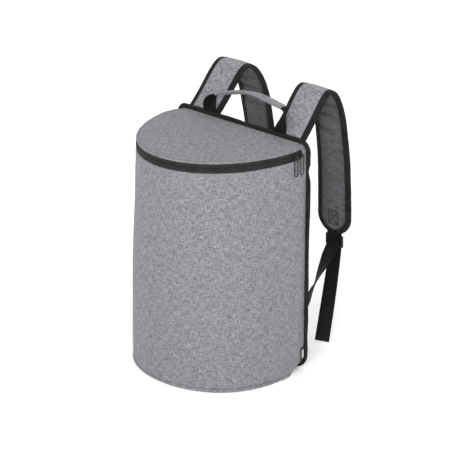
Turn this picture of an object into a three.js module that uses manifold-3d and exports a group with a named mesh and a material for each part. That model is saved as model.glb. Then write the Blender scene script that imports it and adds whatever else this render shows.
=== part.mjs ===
// A cooler backpack: a D-shaped insulated bag with a zipped lid, two padded shoulder straps that
// stand over the back, a webbing carry handle and one adjusting webbing for each strap.
// Millimetres. X runs across the back, the front is -Y, +Z is up and the floor is z = 0.
import * as THREE from "three";
import Module from "manifold-3d";
import { mergeVertices } from "three/addons/utils/BufferGeometryUtils.js";

const wasm = await Module();
wasm.setup();

// Clearance that touching pieces keep
const gap = 0.3;

// Bag body
const bagWidth = 290; // between the side seams
const seamTuck = 3.5; // how far the side seams draw the body in
const bagDepth = 202; // from the back seam to the front, at the zip
const zipTop = 404; // floor to the zip's upper edge
const zipBand = 15.7; // height of the zip with both its tapes
const wall = 4; // lined and foamed side wall
const basePanel = 5.5; // stiffened base, which stands on the floor
const baseEdge = 1.5; // rounding of the base's lower edge
const lidRise = 4; // lid's edge above the zip
const lidCrown = 3; // lid's middle above its edge
const lidSlab = 3.6; // lined lid

// Rows of the plan outline: up is a share of the zip's height, reach a share of the bag's depth,
// square is the power that fills out the front curve.
const planRows = [
  { up: 0, reach: 1.005, square: 0.62 },
  { up: 0.5, reach: 1.003, square: 0.72 },
  { up: 1, reach: 1, square: 0.92 },
];

// Rows of the soft wall's swell: out is a share of the wall's thickness
const swellRows = [
  { up: 0, out: 0 },
  { up: 0.06, out: 0.15 },
  { up: 0.35, out: 0.4 },
  { up: 0.7, out: 0.3 },
  { up: 0.93, out: 0.1 },
  { up: 1, out: 0 },
];

// Back panel, sewn to the wall and lid along one bound seam
const panelPad = 8; // padded back panel
const panelCrown = 3;
const cornerLow = 25; // corner radii of the back seam
const cornerHigh = 12;
const cornerBlend = 45; // how far forward the rounded corners fade out of the wall
const bindingThick = 5; // bound seam, front to back
const bindingSide = 7; // how far the bound seam stands out
const bindingTop = 8;

// Rows of the bound seam's dents down the sides: up is a share of the seam's height,
// out a share of the side binding's width, back a share of its thickness
const dentRows = [
  { up: 0, out: 1, back: 0 },
  { up: 0.15, out: 0.86, back: 0.1 },
  { up: 0.24, out: 1, back: -0.1 },
  { up: 0.45, out: 0.93, back: 0.1 },
  { up: 0.62, out: 0.95, back: -0.12 },
  { up: 0.74, out: 1.08, back: 0.1 },
  { up: 0.82, out: 0.98, back: 0.25 },
  { up: 0.875, out: 0.55, back: 0.4 },
  { up: 0.93, out: 0.95, back: 0 },
  { up: 1, out: 1, back: 0 },
];

// Zip
const zipEnd = 13; // from each side seam to the zip's end
const coilHeight = 2.8;
const tapeThick = 1.5;
const tapeRecess = 0.6; // tapes lie below the wall's face
const coilProud = 0.5;
const patchSlope = 1.2; // width over which the wall steps up past the zip's end

// Sliders and their pulls; from is the distance from the right side seam
const sliders = [
  { name: "rear", from: 18.5 },
  { name: "front", from: 32.5 },
];
const sliderLength = 10;
const sliderHeight = 7;
const sliderPlate = 2;
const archWidth = 3;
const archWall = 1;
const pullWire = 1.4;
const pullLength = 34;
const pullWidth = 9;

// Shoulder straps, one row each: crest and reach are distances behind the seam, and turn is how far
// the lower end is turned, in degrees
const harnessShift = 6; // straps and handle sit a little to one side, as sewn
const strapRows = [
  { name: "left", side: -1, crest: 76, reach: 150, turn: -4 },
  { name: "right", side: 1, crest: 68, reach: 122, turn: 4 },
];
const strapSpacing = 195; // between the straps' centre lines
const strapWidth = 71;
const strapPad = 9;
const strapEdge = 4.6; // pad thickness at its edges
const trimWidth = 7; // binding round a strap's edge
const trimThick = 5.4;
const strapRise = 65; // crest above the seam
const strapHang = 212; // lower tip below the seam
const strapInset = 3.6; // strap's centre line behind the seam where it is sewn

// Path of a strap: up and down are shares of strapRise and strapHang; out is a share of the way
// to the crest in the front rows, and of the way from the crest to the full reach in the rear rows
const strapFront = [
  { out: 0, up: -0.028 },
  { out: 0.3, up: 0.3 },
  { out: 0.6, up: 0.68 },
  { out: 0.84, up: 0.93 },
];
const strapRear = [
  { out: 0, up: 1 },
  { out: 0.2, up: 0.94 },
  { out: 0.41, up: 0.7 },
  { out: 0.58, up: 0.37 },
  { out: 0.7, up: 0 },
];
const strapDrop = [
  { out: 0.8, down: 0.15 },
  { out: 0.89, down: 0.31 },
  { out: 0.945, down: 0.51 },
  { out: 0.98, down: 0.73 },
  { out: 1, down: 1 },
];

// Half section of a strap pad: across is a share of its half width, thick of its full thickness
const padSection = [
  { across: -1, thick: 0 },
  { across: -0.82, thick: 0.62 },
  { across: -0.45, thick: 0.93 },
  { across: 0, thick: 1 },
  { across: 0.45, thick: 0.93 },
  { across: 0.82, thick: 0.62 },
  { across: 1, thick: 0 },
];

// Webbing and its ladder locks
const webWidth = 25;
const webThick = 1.6;
const lockBar = 3;
const lockThick = 3;
const lockSlot = 3.8; // lower slot
const lockLip = 7;
const lockRail = 5.4; // side rails
const lockRadius = 3;
const anchorHeight = 131; // where the webbing is sewn into the side seam
const tailLength = 171; // free end below the ladder lock
const tailSwing = 32; // free end nearer the bag than the lock
const tailTwist = 32; // degrees that the free end turns
const tailHem = 12; // folded and stitched end

// Carry handle: its webbing is folded in half lengthwise inside the sleeve
const handleSpan = 160; // between its sewn ends
const handleRise = 52;
const handleWidth = 30;
const handleFold = 0.45; // width of the folded webbing, as a share of the whole
const sleeveThick = 5.4;
const sleeveWidth = 17;
const sleeveFrom = 0.24; // sleeve's ends, as shares of the handle's length
const sleeveTo = 0.78;
const handlePerSpan = 3; // sections between two rows

// Rows of the handle's line: across is a share of half its span, up and back are shares of its
// rise; turn and tilt are the webbing's, in degrees; wide is a share of its width
const handleRows = [
  { across: -1, up: 0, back: 0, turn: 0, tilt: 0, wide: 1, layers: 1 },
  { across: -1.03, up: 0.15, back: 0, turn: -6, tilt: 0, wide: 0.9, layers: 1 },
  { across: -1, up: 0.36, back: 0, turn: -30, tilt: 0, wide: 0.7, layers: 1.4 },
  { across: -0.91, up: 0.57, back: 0.02, turn: -65, tilt: 0, wide: handleFold, layers: 2 },
  { across: -0.73, up: 0.68, back: 0.08, turn: -88, tilt: -12, wide: handleFold, layers: 2 },
  { across: -0.46, up: 0.8, back: 0.12, turn: -90, tilt: -26, wide: handleFold, layers: 2 },
  { across: -0.17, up: 0.91, back: 0.12, turn: -90, tilt: -26, wide: handleFold, layers: 2 },
  { across: 0.1, up: 0.99, back: 0.1, turn: -90, tilt: -16, wide: handleFold, layers: 2 },
  { across: 0.39, up: 1, back: 0.06, turn: -90, tilt: -5, wide: handleFold, layers: 2 },
  { across: 0.67, up: 0.96, back: 0.03, turn: -90, tilt: 0, wide: handleFold, layers: 2 },
  { across: 0.94, up: 0.91, back: 0, turn: -92, tilt: 0, wide: handleFold, layers: 2 },
  { across: 1.09, up: 0.86, back: 0, turn: -100, tilt: 0, wide: handleFold, layers: 2 },
  { across: 1.14, up: 0.72, back: 0, turn: -128, tilt: 0, wide: handleFold, layers: 2 },
  { across: 1.09, up: 0.42, back: 0, turn: -158, tilt: 0, wide: 0.7, layers: 1.4 },
  { across: 0.98, up: 0, back: 0, turn: -180, tilt: 0, wide: 0.95, layers: 1 },
];

// Side label
const labelLow = 22;
const labelHigh = 45;
const labelReach = 10;
const labelThick = 1.2;

// Heights and places that follow
const backY = bagDepth / 2;
const wallFoot = basePanel + gap;
const seamFloor = basePanel;
const seamTop = zipTop + lidRise;
const zipLow = zipTop - zipBand;
const halfWidth = bagWidth / 2;
const seamFlat = bindingThick / 2 + 2 * gap; // the seams run straight forward past their binding
const trimTop = seamTop + bindingTop;
const wrapRadius = Math.hypot(lockBar, lockThick) / 2 + gap + webThick / 2;
const tabSlot = 2 * (wrapRadius + webThick / 2 - lockBar / 2) + gap;
const lockWidth = webWidth + 2 * lockRail + 2 * gap;
const lockHeight = 2 * lockBar + tabSlot + lockSlot + lockLip;

// Materials
const cloth = { color: 0x8d8f94, roughness: 0.95, metalness: 0 };
const binding = { color: 0x2b2b2e, roughness: 0.85, metalness: 0 };
const webbing = { color: 0x151516, roughness: 0.8, metalness: 0 };
const plastic = { color: 0x101011, roughness: 0.45, metalness: 0 };
const zipMetal = { color: 0x2e2e30, roughness: 0.4, metalness: 0.6 };
const lining = { color: 0x9b9ca0, roughness: 0.9, metalness: 0 };
const labelCloth = { color: 0x202022, roughness: 0.8, metalness: 0 };

const bag = new THREE.Group();

// Small helpers
const point = (x, y, z) => new THREE.Vector3(x, y, z);
const shares = (count) => Array.from({ length: count + 1 }, (_, i) => i / count);
const mix = (a, b, t) => a + (b - a) * t;
const limit = (x, low = 0, high = 1) => Math.min(high, Math.max(low, x));
const radians = THREE.MathUtils.degToRad;

// Value of a column at a place in a table, read straight between its rows
function look(rows, key, at, column) {
  let i = 0;
  while (i < rows.length - 2 && at > rows[i + 1][key]) i += 1;
  const t = limit((at - rows[i][key]) / (rows[i + 1][key] - rows[i][key]));
  return mix(rows[i][column], rows[i + 1][column], t);
}

// One closed solid from points and triangles, with its faces turned out
function solid(points, faces) {
  let volume = 0;
  for (const [a, b, c] of faces) {
    volume += points[a].dot(points[b].clone().cross(points[c]));
  }
  const geometry = new THREE.BufferGeometry().setFromPoints(points);
  geometry.setIndex(faces.flatMap(([a, b, c]) => (volume < 0 ? [a, c, b] : [a, b, c])));
  return geometry;
}

// A solid through rings of equally many points. Closed rings join last to first. Open ends are
// closed by a fan round the middle, or by a strip between a ring's first and second half.
function loft(rings, ends = "strip") {
  const count = rings[0].length;
  const points = rings.flat();
  const faces = [];
  const at = (i, j) => (i % rings.length) * count + (j % count);
  const quad = (a, b, c, d) => faces.push([a, b, c], [a, c, d]);
  const spans = ends === "closed" ? rings.length : rings.length - 1;
  for (let i = 0; i < spans; i += 1) {
    for (let j = 0; j < count; j += 1) {
      quad(at(i, j), at(i + 1, j), at(i + 1, j + 1), at(i, j + 1));
    }
  }
  const last = rings.length - 1;
  if (ends === "strip") {
    for (let j = 0; j < count / 2 - 1; j += 1) {
      const k = count - 1 - j;
      quad(at(0, j), at(0, j + 1), at(0, k - 1), at(0, k));
      quad(at(last, k), at(last, k - 1), at(last, j + 1), at(last, j));
    }
  }
  if (ends === "fan") {
    for (const i of [0, last]) {
      const middle = rings[i].reduce((sum, p) => sum.add(p), point(0, 0, 0));
      points.push(middle.divideScalar(count));
      for (let j = 0; j < count; j += 1) {
        const edge = [at(i, j), at(i, j + 1)];
        faces.push(i === 0 ? [...edge, points.length - 1] : [edge[1], edge[0], points.length - 1]);
      }
    }
  }
  return solid(points, faces);
}

// A hollow sleeve between outer and inner rings, open at both ends
function sleeve(outer, inner) {
  const count = outer[0].length;
  const points = [...outer.flat(), ...inner.flat()];
  const faces = [];
  const at = (i, j) => i * count + (j % count);
  const quad = (a, b, c, d) => faces.push([a, b, c], [a, c, d]);
  const shift = outer.length * count;
  const last = outer.length - 1;
  for (let j = 0; j < count; j += 1) {
    for (let i = 0; i < last; i += 1) {
      quad(at(i, j), at(i + 1, j), at(i + 1, j + 1), at(i, j + 1));
      quad(shift + at(i, j), shift + at(i, j + 1), shift + at(i + 1, j + 1), shift + at(i + 1, j));
    }
    quad(at(0, j + 1), shift + at(0, j + 1), shift + at(0, j), at(0, j));
    quad(at(last, j), shift + at(last, j), shift + at(last, j + 1), at(last, j + 1));
  }
  return solid(points, faces);
}

// Two closed geometries joined into one
function join(first, second) {
  const [a, b] = [first, second].map((geometry) => {
    const bare = geometry.clone();
    bare.deleteAttribute("normal");
    bare.deleteAttribute("uv");
    const merged = mergeVertices(bare, 1e-4);
    return new wasm.Manifold(
      new wasm.Mesh({
        numProp: 3,
        vertProperties: new Float32Array(merged.attributes.position.array),
        triVerts: new Uint32Array(merged.index.array),
      }),
    );
  });
  const mesh = a.add(b).getMesh();
  const geometry = new THREE.BufferGeometry();
  geometry.setAttribute("position", new THREE.BufferAttribute(mesh.vertProperties, 3));
  geometry.setIndex(new THREE.BufferAttribute(mesh.triVerts, 1));
  return geometry;
}

function add(name, geometry, finish, parent = bag) {
  const shown = geometry.index ? geometry.clone() : geometry;
  shown.computeVertexNormals();
  const mesh = new THREE.Mesh(shown, new THREE.MeshStandardMaterial(finish));
  mesh.name = name;
  parent.add(mesh);
  return mesh;
}

// How far the side seams turn in, at a height, where the back panel's corners are round
function cornerPull(z) {
  const pull = (over, radius) => {
    const depth = limit(over, 0, radius);
    return radius - Math.sqrt(radius * radius - depth * depth);
  };
  return (
    pull(seamFloor + cornerLow - z, cornerLow) + pull(z - (seamTop - cornerHigh), cornerHigh)
  );
}

// The bag's plan outline at a height: evenly measured from the left seam round the front to the
// right seam. Each point has its place, its outward direction and its distance from the back.
function outline(z) {
  const steps = 240;
  const up = limit(z / zipTop);
  const reach = bagDepth * look(planRows, "up", up, "reach");
  const square = look(planRows, "up", up, "square");
  const drawn = seamTuck + cornerPull(z);
  const dense = shares(steps).map((share) => {
    const angle = Math.PI * share * share * (3 - 2 * share);
    const x = -(halfWidth + seamTuck) * Math.cos(angle);
    const away = share === 1 ? 0 : reach * Math.sin(angle) ** square;
    const fade = (1 - limit((away - seamFlat) / cornerBlend)) ** 2;
    return new THREE.Vector2(x - Math.sign(x) * drawn * fade, away);
  });
  const lengths = [0];
  for (let i = 1; i <= steps; i += 1) {
    lengths.push(lengths[i - 1] + dense[i].distanceTo(dense[i - 1]));
  }
  const total = lengths[steps];
  const at = (share) => {
    const wanted = limit(share) * total;
    let i = 0;
    while (i < steps - 1 && lengths[i + 1] < wanted) i += 1;
    const t = (wanted - lengths[i]) / (lengths[i + 1] - lengths[i]);
    const here = dense[i].clone().lerp(dense[i + 1], t);
    const along = dense[Math.min(i + 2, steps)].clone().sub(dense[Math.max(i - 1, 0)]).normalize();
    return { x: here.x, away: here.y, nx: -along.y, ny: -along.x };
  };
  return { at, total };
}

// A point on the plan outline, moved outwards by so much
function onOutline(shape, share, z, out) {
  const p = shape.at(share);
  return point(p.x + p.nx * out, backY - gap - p.away + p.ny * out, z);
}

// Shares of the outline for a piece's columns, with one where the bound seam ends at each side
const zipLine = outline(zipTop);
const flatShare = seamFlat / zipLine.total;
const columnsOf = (count) => [0, flatShare, ...shares(count).slice(1, -1), 1 - flatShare, 1];
const zipStart = (zipEnd + gap) / zipLine.total;
const patchStart = (zipEnd - patchSlope) / zipLine.total;
const patchStop = zipEnd / zipLine.total;

// Front and side wall in one piece, stepped up past the zip's ends
function bagWall() {
  const columns = 36;
  const apart = 0.009; // least share between two columns
  const levels = [0, 0.02, 0.06, 0.2, 0.4, 0.6, 0.8, 0.93, 1];
  const middle = shares(columns).slice(1, -1);
  const inner = middle.filter((s) => Math.min(s, 1 - s) > patchStop + 2 * apart);
  const ends = [0, flatShare, patchStart, patchStop, patchStop + apart];
  const all = [...ends, ...inner, ...ends.map((s) => 1 - s).reverse()];
  const rings = all.map((share) => {
    const edge = Math.min(share, 1 - share);
    const top = mix(zipTop, zipLow, limit((edge - patchStart) / (patchStop - patchStart)));
    const fade = limit(edge / patchStop) ** 2;
    const line = levels.map((level) => {
      const z = mix(wallFoot, top, level);
      return { z, shape: outline(z), swell: look(swellRows, "up", level, "out") * wall * fade };
    });
    const outer = line.map((l) => onOutline(l.shape, share, l.z, l.swell));
    const inside = line.map((l) => onOutline(l.shape, share, l.z, l.swell - wall));
    return [...outer, ...inside.reverse()];
  });
  return loft(rings);
}

// A strip of the zip that follows the wall, between two heights
function zipStrip(low, high, out, thick) {
  const columns = 44;
  const middle = outline((low + high) / 2);
  const rings = shares(columns).map((t) => {
    const share = mix(zipStart, 1 - zipStart, t);
    return [
      onOutline(middle, share, low, out),
      onOutline(middle, share, high, out),
      onOutline(middle, share, high, out - thick),
      onOutline(middle, share, low, out - thick),
    ];
  });
  return loft(rings);
}

// A closed D at a height: shrink moves it towards its middle by a share, inset moves its edge in,
// back keeps it off the seam and lift raises it above the height whose outline it follows
function dRing(z, shrink, inset, back, lift = 0) {
  const columns = 36;
  const backPoints = 8;
  const shape = outline(z);
  const stretch = (bagDepth - back) / bagDepth;
  const arc = columnsOf(columns).map((share) => {
    const p = shape.at(share);
    return point(
      p.x - p.nx * inset,
      backY - gap - back - p.away * stretch - p.ny * inset * Math.min(1, p.away / cornerBlend),
      z,
    );
  });
  const [left, right] = [arc[0], arc[arc.length - 1]];
  const line = shares(backPoints).slice(1, -1).map((t) => right.clone().lerp(left, t));
  const middle = point(0, backY - bagDepth * 0.45, z);
  return [...arc, ...line].map((p) => p.lerp(middle, shrink).setZ(z + lift));
}

function lidPanel() {
  const low = zipTop + gap;
  const high = seamTop;
  const slab = Math.min(lidSlab, high - low);
  const round = slab / 3; // of the lid's upper edge
  const slope = { shrink: 0.4, rise: 0.7 }; // part of the way in, and of the crown there
  const crown = { shrink: 0.8, rise: 1 };
  const rings = [
    dRing(high, crown.shrink, 0, 0, crown.rise * lidCrown - slab),
    dRing(high, slope.shrink, 0, 0, slope.rise * lidCrown - slab),
    dRing(low, 0, round / 2, 0),
    dRing(low + round / 2, 0, 0, 0),
    dRing(high - round, 0, 0, 0),
    dRing(high, 0, round, 0),
    dRing(high, slope.shrink, 0, 0, slope.rise * lidCrown),
    dRing(high, crown.shrink, 0, 0, crown.rise * lidCrown),
  ];
  return loft(rings, "fan");
}

function basePlate() {
  const back = bindingThick / 2;
  const rings = [
    dRing(0, 0, baseEdge, back),
    dRing(baseEdge, 0, 0, back),
    dRing(basePanel, 0, 0, back),
  ];
  return loft(rings, "fan");
}

// The back seam: a rounded rectangle in X and Z, with the outward direction at each point
function seamPoints() {
  const sidePoints = 22;
  const acrossPoints = 12;
  const cornerPoints = 6;
  const corner = (x, z, radius, from) =>
    shares(cornerPoints).map((t) => {
      const angle = from + (t * Math.PI) / 2;
      const nx = Math.cos(angle);
      const nz = Math.sin(angle);
      return { x: x + radius * nx, z: z + radius * nz, nx, nz };
    });
  const corners = [
    corner(halfWidth - cornerLow, seamFloor + cornerLow, cornerLow, -Math.PI / 2),
    corner(halfWidth - cornerHigh, seamTop - cornerHigh, cornerHigh, 0),
    corner(cornerHigh - halfWidth, seamTop - cornerHigh, cornerHigh, Math.PI / 2),
    corner(cornerLow - halfWidth, seamFloor + cornerLow, cornerLow, Math.PI),
  ];
  const runs = [sidePoints, acrossPoints, sidePoints, acrossPoints];
  return corners.flatMap((from, i) => {
    const a = from[from.length - 1];
    const b = corners[(i + 1) % corners.length][0];
    const run = shares(runs[i]).slice(1, -1);
    return [...from, ...run.map((t) => ({ ...a, x: mix(a.x, b.x, t), z: mix(a.z, b.z, t) }))];
  });
}

function panelRing(y, inset) {
  return seamPoints().map((p) => point(p.x - p.nx * inset, y, p.z - p.nz * inset));
}

function backPanel() {
  // Rows of the pad's soft edge, as shares of its thickness
  const edgeRows = [
    { back: 0, inset: 0 },
    { back: 0.55, inset: 0 },
    { back: 0.9, inset: 0.25 },
    { back: 1, inset: 0.8 },
  ];
  const flat = 0.7; // flat middle, as a share of the pad
  const rings = edgeRows.map((r) => panelRing(backY + panelPad * r.back, panelPad * r.inset));
  const field = rings[edgeRows.length - 1];
  const middle = point(0, backY + panelPad + panelCrown, (seamFloor + seamTop) / 2);
  rings.push(field.map((p) => p.clone().lerp(middle, 1 - flat).setY(middle.y)));
  return loft(rings, "fan");
}

// The bound seam that frames the back panel and stands out all round it
function backBinding() {
  const edge = bindingThick * 0.25;
  const rings = seamPoints().map((p) => {
    const up = (p.z - seamFloor) / (seamTop - seamFloor);
    const beside = p.nx * p.nx;
    const dent = mix(1, look(dentRows, "up", up, "out"), beside);
    const shift = beside * look(dentRows, "up", up, "back") * bindingThick;
    const across = p.nz > 0 ? bindingTop : seamFloor;
    const width = (bindingSide * beside + across * (1 - beside)) * dent;
    const front = backY - bindingThick / 2;
    const back = backY + bindingThick / 2;
    const at = (out, y) => point(p.x + p.nx * out, y + shift * limit(out / width), p.z + p.nz * out);
    return [
      at(gap, front),
      at(width - edge, front),
      at(width, front + edge),
      at(width, back - edge),
      at(width - edge, back),
      at(gap, back),
    ];
  });
  return loft(rings, "closed");
}

// The middle line of a strap, with its direction, its width direction and its outer side
function strapPath(row) {
  const x = harnessShift + (row.side * strapSpacing) / 2;
  const base = trimTop;
  const front = (r) => point(x, backY + mix(strapInset, row.crest, r.out), base + r.up * strapRise);
  const rear = (r) => point(x, backY + mix(row.crest, row.reach, r.out), base + r.up * strapRise);
  const drop = (r) => point(x, backY + mix(row.crest, row.reach, r.out), base - r.down * strapHang);
  const points = [...strapFront.map(front), ...strapRear.map(rear), ...strapDrop.map(drop)];
  const curve = new THREE.CatmullRomCurve3(points, false, "centripetal");
  curve.arcLengthDivisions = 400;
  const length = curve.getLength();
  const frame = (s) => {
    const t = limit(s / length);
    const along = curve.getTangentAt(t);
    const centre = curve.getPointAt(t).addScaledVector(along, s - t * length);
    const turn = radians(row.turn) * row.side * limit(t * 2 - 1);
    const across = point(Math.cos(turn), Math.sin(turn) * row.side, 0);
    across.addScaledVector(along, -across.dot(along)).normalize();
    const outer = across.clone().cross(along).negate().normalize();
    return { centre, along, across, outer };
  };
  // A place on the strap: so far down it, across it and out of its middle layer
  const at = (s, a, n) => {
    const f = frame(s);
    return f.centre.addScaledVector(f.across, a).addScaledVector(f.outer, n);
  };
  return { length, frame, at };
}

const padHalf = strapWidth / 2 - trimWidth - gap;

function strapPadSolid(path) {
  const bodyRows = 22;
  const endRows = 6;
  const endTurn = radians(78); // the round end stops short of a point
  const tipThick = 0.55; // of the pad's swell, at its lower tip
  const endStart = path.length - trimWidth - gap - padHalf;
  const rows = shares(bodyRows).map((t) => ({ s: t * endStart, half: padHalf }));
  for (let i = 1; i <= endRows; i += 1) {
    const angle = (i / endRows) * endTurn;
    rows.push({ s: endStart + padHalf * Math.sin(angle), half: padHalf * Math.cos(angle) });
  }
  const rings = rows.map(({ s, half }) => {
    const thin = mix(tipThick, 1, limit((endStart + padHalf - s) / padHalf));
    const side = (sign) =>
      padSection.map((p) => {
        const thick = mix(strapEdge, strapPad, p.thick * thin) / 2;
        return path.at(s, p.across * half, sign * thick);
      });
    return [...side(1), ...side(-1).reverse()];
  });
  return loft(rings);
}

// Binding down one edge of a strap, round its lower end and up the other edge
function strapTrimSolid(path) {
  const sideRows = 22;
  const turnRows = 12;
  const endStart = path.length - trimWidth - gap - padHalf;
  const sides = shares(sideRows).slice(0, -1);
  const route = [
    ...sides.map((t) => ({ s: t * endStart, a: -padHalf, ds: 0, da: -1 })),
    ...shares(turnRows).map((t) => {
      const angle = t * Math.PI;
      const ds = Math.sin(angle);
      const da = -Math.cos(angle);
      return { s: endStart + padHalf * ds, a: padHalf * da, ds, da };
    }),
    ...sides.map((t) => ({ s: t * endStart, a: padHalf, ds: 0, da: 1 })).reverse(),
  ];
  const crown = 0.35;
  const rings = route.map((r) => {
    const at = (out, n) => path.at(r.s + r.ds * out, r.a + r.da * out, n);
    const far = gap + trimWidth;
    const half = trimThick / 2;
    return [
      at(gap, half),
      at(far - half * crown, half),
      at(far, half * crown),
      at(far, -half * crown),
      at(far - half * crown, -half),
      at(gap, -half),
    ];
  });
  return loft(rings);
}

// A flat webbing along a list of places, each with its width direction, wide as a share of the
// width, its number of layers, and square from 0, where its end keeps its sewn line, to 1
function ribbon(stops, width, thick, perSpan = 3) {
  const curve = new THREE.CatmullRomCurve3(stops.map((s) => s.at), false, "centripetal");
  const spans = stops.length - 1;
  const rings = shares(spans * perSpan).map((t) => {
    const k = Math.min(Math.floor(t * spans + 1e-9), spans - 1);
    const part = t * spans - k;
    return ribbonRing(curve, t, stops[k], stops[k + 1], part, width, thick);
  });
  return loft(rings);
}

function ribbonRing(curve, t, from, to, part, width, thick) {
  const centre = curve.getPoint(t);
  const along = curve.getTangent(t);
  const across = from.across.clone().lerp(to.across, part);
  const square = mix(from.square ?? 1, to.square ?? 1, part);
  across.addScaledVector(along, -across.dot(along) * square).normalize();
  const out = along.clone().cross(across).normalize();
  const layers = mix(from.layers ?? 1, to.layers ?? 1, part);
  const wide = mix(from.wide ?? 1, to.wide ?? 1, part);
  const at = (a, n) =>
    centre
      .clone()
      .addScaledVector(across, (a * width * wide) / 2)
      .addScaledVector(out, (n * thick * layers) / 2);
  return [at(1, 1), at(-1, 1), at(-1, -1), at(1, -1)];
}

// Places in a ladder lock: a is across, u is up the strap from the middle bar, n is outwards
function lockFrame(path) {
  const end = path.frame(path.length);
  const tabLength = tabSlot + lockBar * 1.5 + 2 * gap;
  const middle = end.centre.clone().addScaledVector(end.along, tabLength + gap);
  const up = end.along.clone().negate();
  const at = (a, u, n) =>
    middle
      .clone()
      .addScaledVector(end.across, a)
      .addScaledVector(up, u)
      .addScaledVector(end.outer, n);
  return { at, up, middle, across: end.across, outer: end.outer, tabLength };
}

function lockSolid() {
  const roundBox = (width, low, high, radius) => {
    const s = new THREE.Shape();
    const w = width / 2;
    s.moveTo(w - radius, low);
    s.absarc(w - radius, low + radius, radius, -Math.PI / 2, 0, false);
    s.absarc(w - radius, high - radius, radius, 0, Math.PI / 2, false);
    s.absarc(radius - w, high - radius, radius, Math.PI / 2, Math.PI, false);
    s.absarc(radius - w, low + radius, radius, Math.PI, Math.PI * 1.5, false);
    s.closePath();
    return s;
  };
  const half = lockBar / 2;
  const top = half + tabSlot + lockBar;
  const shape = roundBox(lockWidth, top - lockHeight, top, lockRadius);
  const slot = (low, high) => {
    const side = webWidth / 2 + gap;
    const corners = [point(-side, low), point(-side, high), point(side, high), point(side, low)];
    shape.holes.push(new THREE.Path(corners));
  };
  slot(half, half + tabSlot);
  slot(-half - lockSlot, -half);
  const geometry = new THREE.ExtrudeGeometry(shape, {
    depth: lockThick,
    bevelEnabled: false,
    curveSegments: 3,
  });
  return geometry.translate(0, 0, -lockThick / 2);
}

// Half turn round a bar of the lock, from one face to the other
function turnRound(lock, u, way, from) {
  const steps = 6;
  return shares(steps).map((t) => {
    const angle = Math.PI * t;
    return {
      at: lock.at(0, u + way * wrapRadius * Math.sin(angle), from * wrapRadius * Math.cos(angle)),
      across: lock.across,
    };
  });
}

// Short webbing that holds the lock on the strap's lower end
function tabSolid(lock) {
  const bar = lockBar + tabSlot;
  const tip = lock.tabLength + trimWidth;
  const sewn = (trimThick + webThick) / 2 + gap;
  const leg = (n, u) => ({ at: lock.at(0, u, n), across: lock.across });
  return ribbon(
    [
      leg(sewn, tip),
      leg(sewn, lock.tabLength),
      ...turnRound(lock, bar, -1, 1),
      leg(-sewn, lock.tabLength),
      leg(-sewn, tip),
    ],
    webWidth,
    webThick,
    2,
  );
}

// Webbing from the side seam, over the lock's middle bar and down to its free end
function adjusterSolid(row, lock) {
  const { side } = row;
  const upwards = point(0, 0, side);
  const below = lockBar / 2 + lockSlot + lockLip;
  const start = point(
    side * (halfWidth + gap + bindingSide * 0.45),
    backY + bindingThick / 2 + gap + webThick,
    anchorHeight,
  );
  const entry = lock.at(0, -below * 0.45, wrapRadius + 1);
  const way = (t, turn, sag, square = 1) => ({
    at: start.clone().lerp(entry, t).add(point(0, 0, -sag)),
    across: upwards.clone().lerp(lock.across, turn).normalize(),
    square,
  });
  const exit = lock.at(0, -below, -wrapRadius);
  const free = (t, layers = 1) => ({
    at: exit.clone().add(point(0, -tailSwing * t ** 1.15, -tailLength * t)),
    across: lock.across.clone().applyAxisAngle(point(0, 0, side), radians(tailTwist * t)),
    layers,
  });
  const hem = 1 - tailHem / tailLength;
  return ribbon(
    [
      way(0, 0, 0, 0),
      way(0.1, 0.08, 0.6, 0.3),
      way(0.22, 0.25, 1.4),
      way(0.4, 0.42, 2),
      way(0.6, 0.65, 2),
      way(0.8, 0.88, 1),
      way(1, 1, 0),
      ...turnRound(lock, 0, 1, 1),
      { at: lock.at(0, -below * 0.5, -wrapRadius), across: lock.across },
      free(0),
      free(0.12),
      free(0.35),
      free(0.6),
      free(0.82),
      free(hem - 0.005),
      free(hem, 2),
      free(1, 2),
    ],
    webWidth,
    webThick,
    2,
  );
}

// Carry handle: the curve, and the ring of a flat section round it
function handleStops() {
  return handleRows.map((r) => {
    const turn = radians(r.turn);
    const tilt = radians(r.tilt);
    return {
      at: point(
        harnessShift + (r.across * handleSpan) / 2,
        backY - bindingThick / 2 + webThick / 2 + gap + r.back * handleRise,
        trimTop + gap + r.up * handleRise,
      ),
      across: point(
        Math.cos(turn) * Math.cos(tilt),
        -Math.sin(turn) * Math.cos(tilt),
        Math.sin(tilt),
      ),
      square: r.up > 0 ? 1 : 0,
      wide: r.wide,
      layers: r.layers,
    };
  });
}

function sleeveSolid() {
  const stops = handleStops();
  const curve = new THREE.CatmullRomCurve3(stops.map((s) => s.at), false, "centripetal");
  const spans = stops.length - 1;
  const ringAt = (t, width, thick) => {
    const k = Math.min(Math.floor(t * spans + 1e-9), spans - 1);
    const [from, to] = [stops[k], stops[k + 1]].map((s) => ({ ...s, wide: 1, layers: 1 }));
    return ribbonRing(curve, t, from, to, t * spans - k, width, thick);
  };
  const steps = spans * handlePerSpan;
  const places = shares(steps).filter((t) => t >= sleeveFrom && t <= sleeveTo);
  const outer = places.map((t) => ringAt(t, sleeveWidth, sleeveThick));
  const folded = { width: handleWidth * handleFold + 2 * gap, thick: webThick * 2 + 2 * gap };
  const inner = places.map((t) => ringAt(t, folded.width, folded.thick));
  return sleeve(outer, inner);
}

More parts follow.
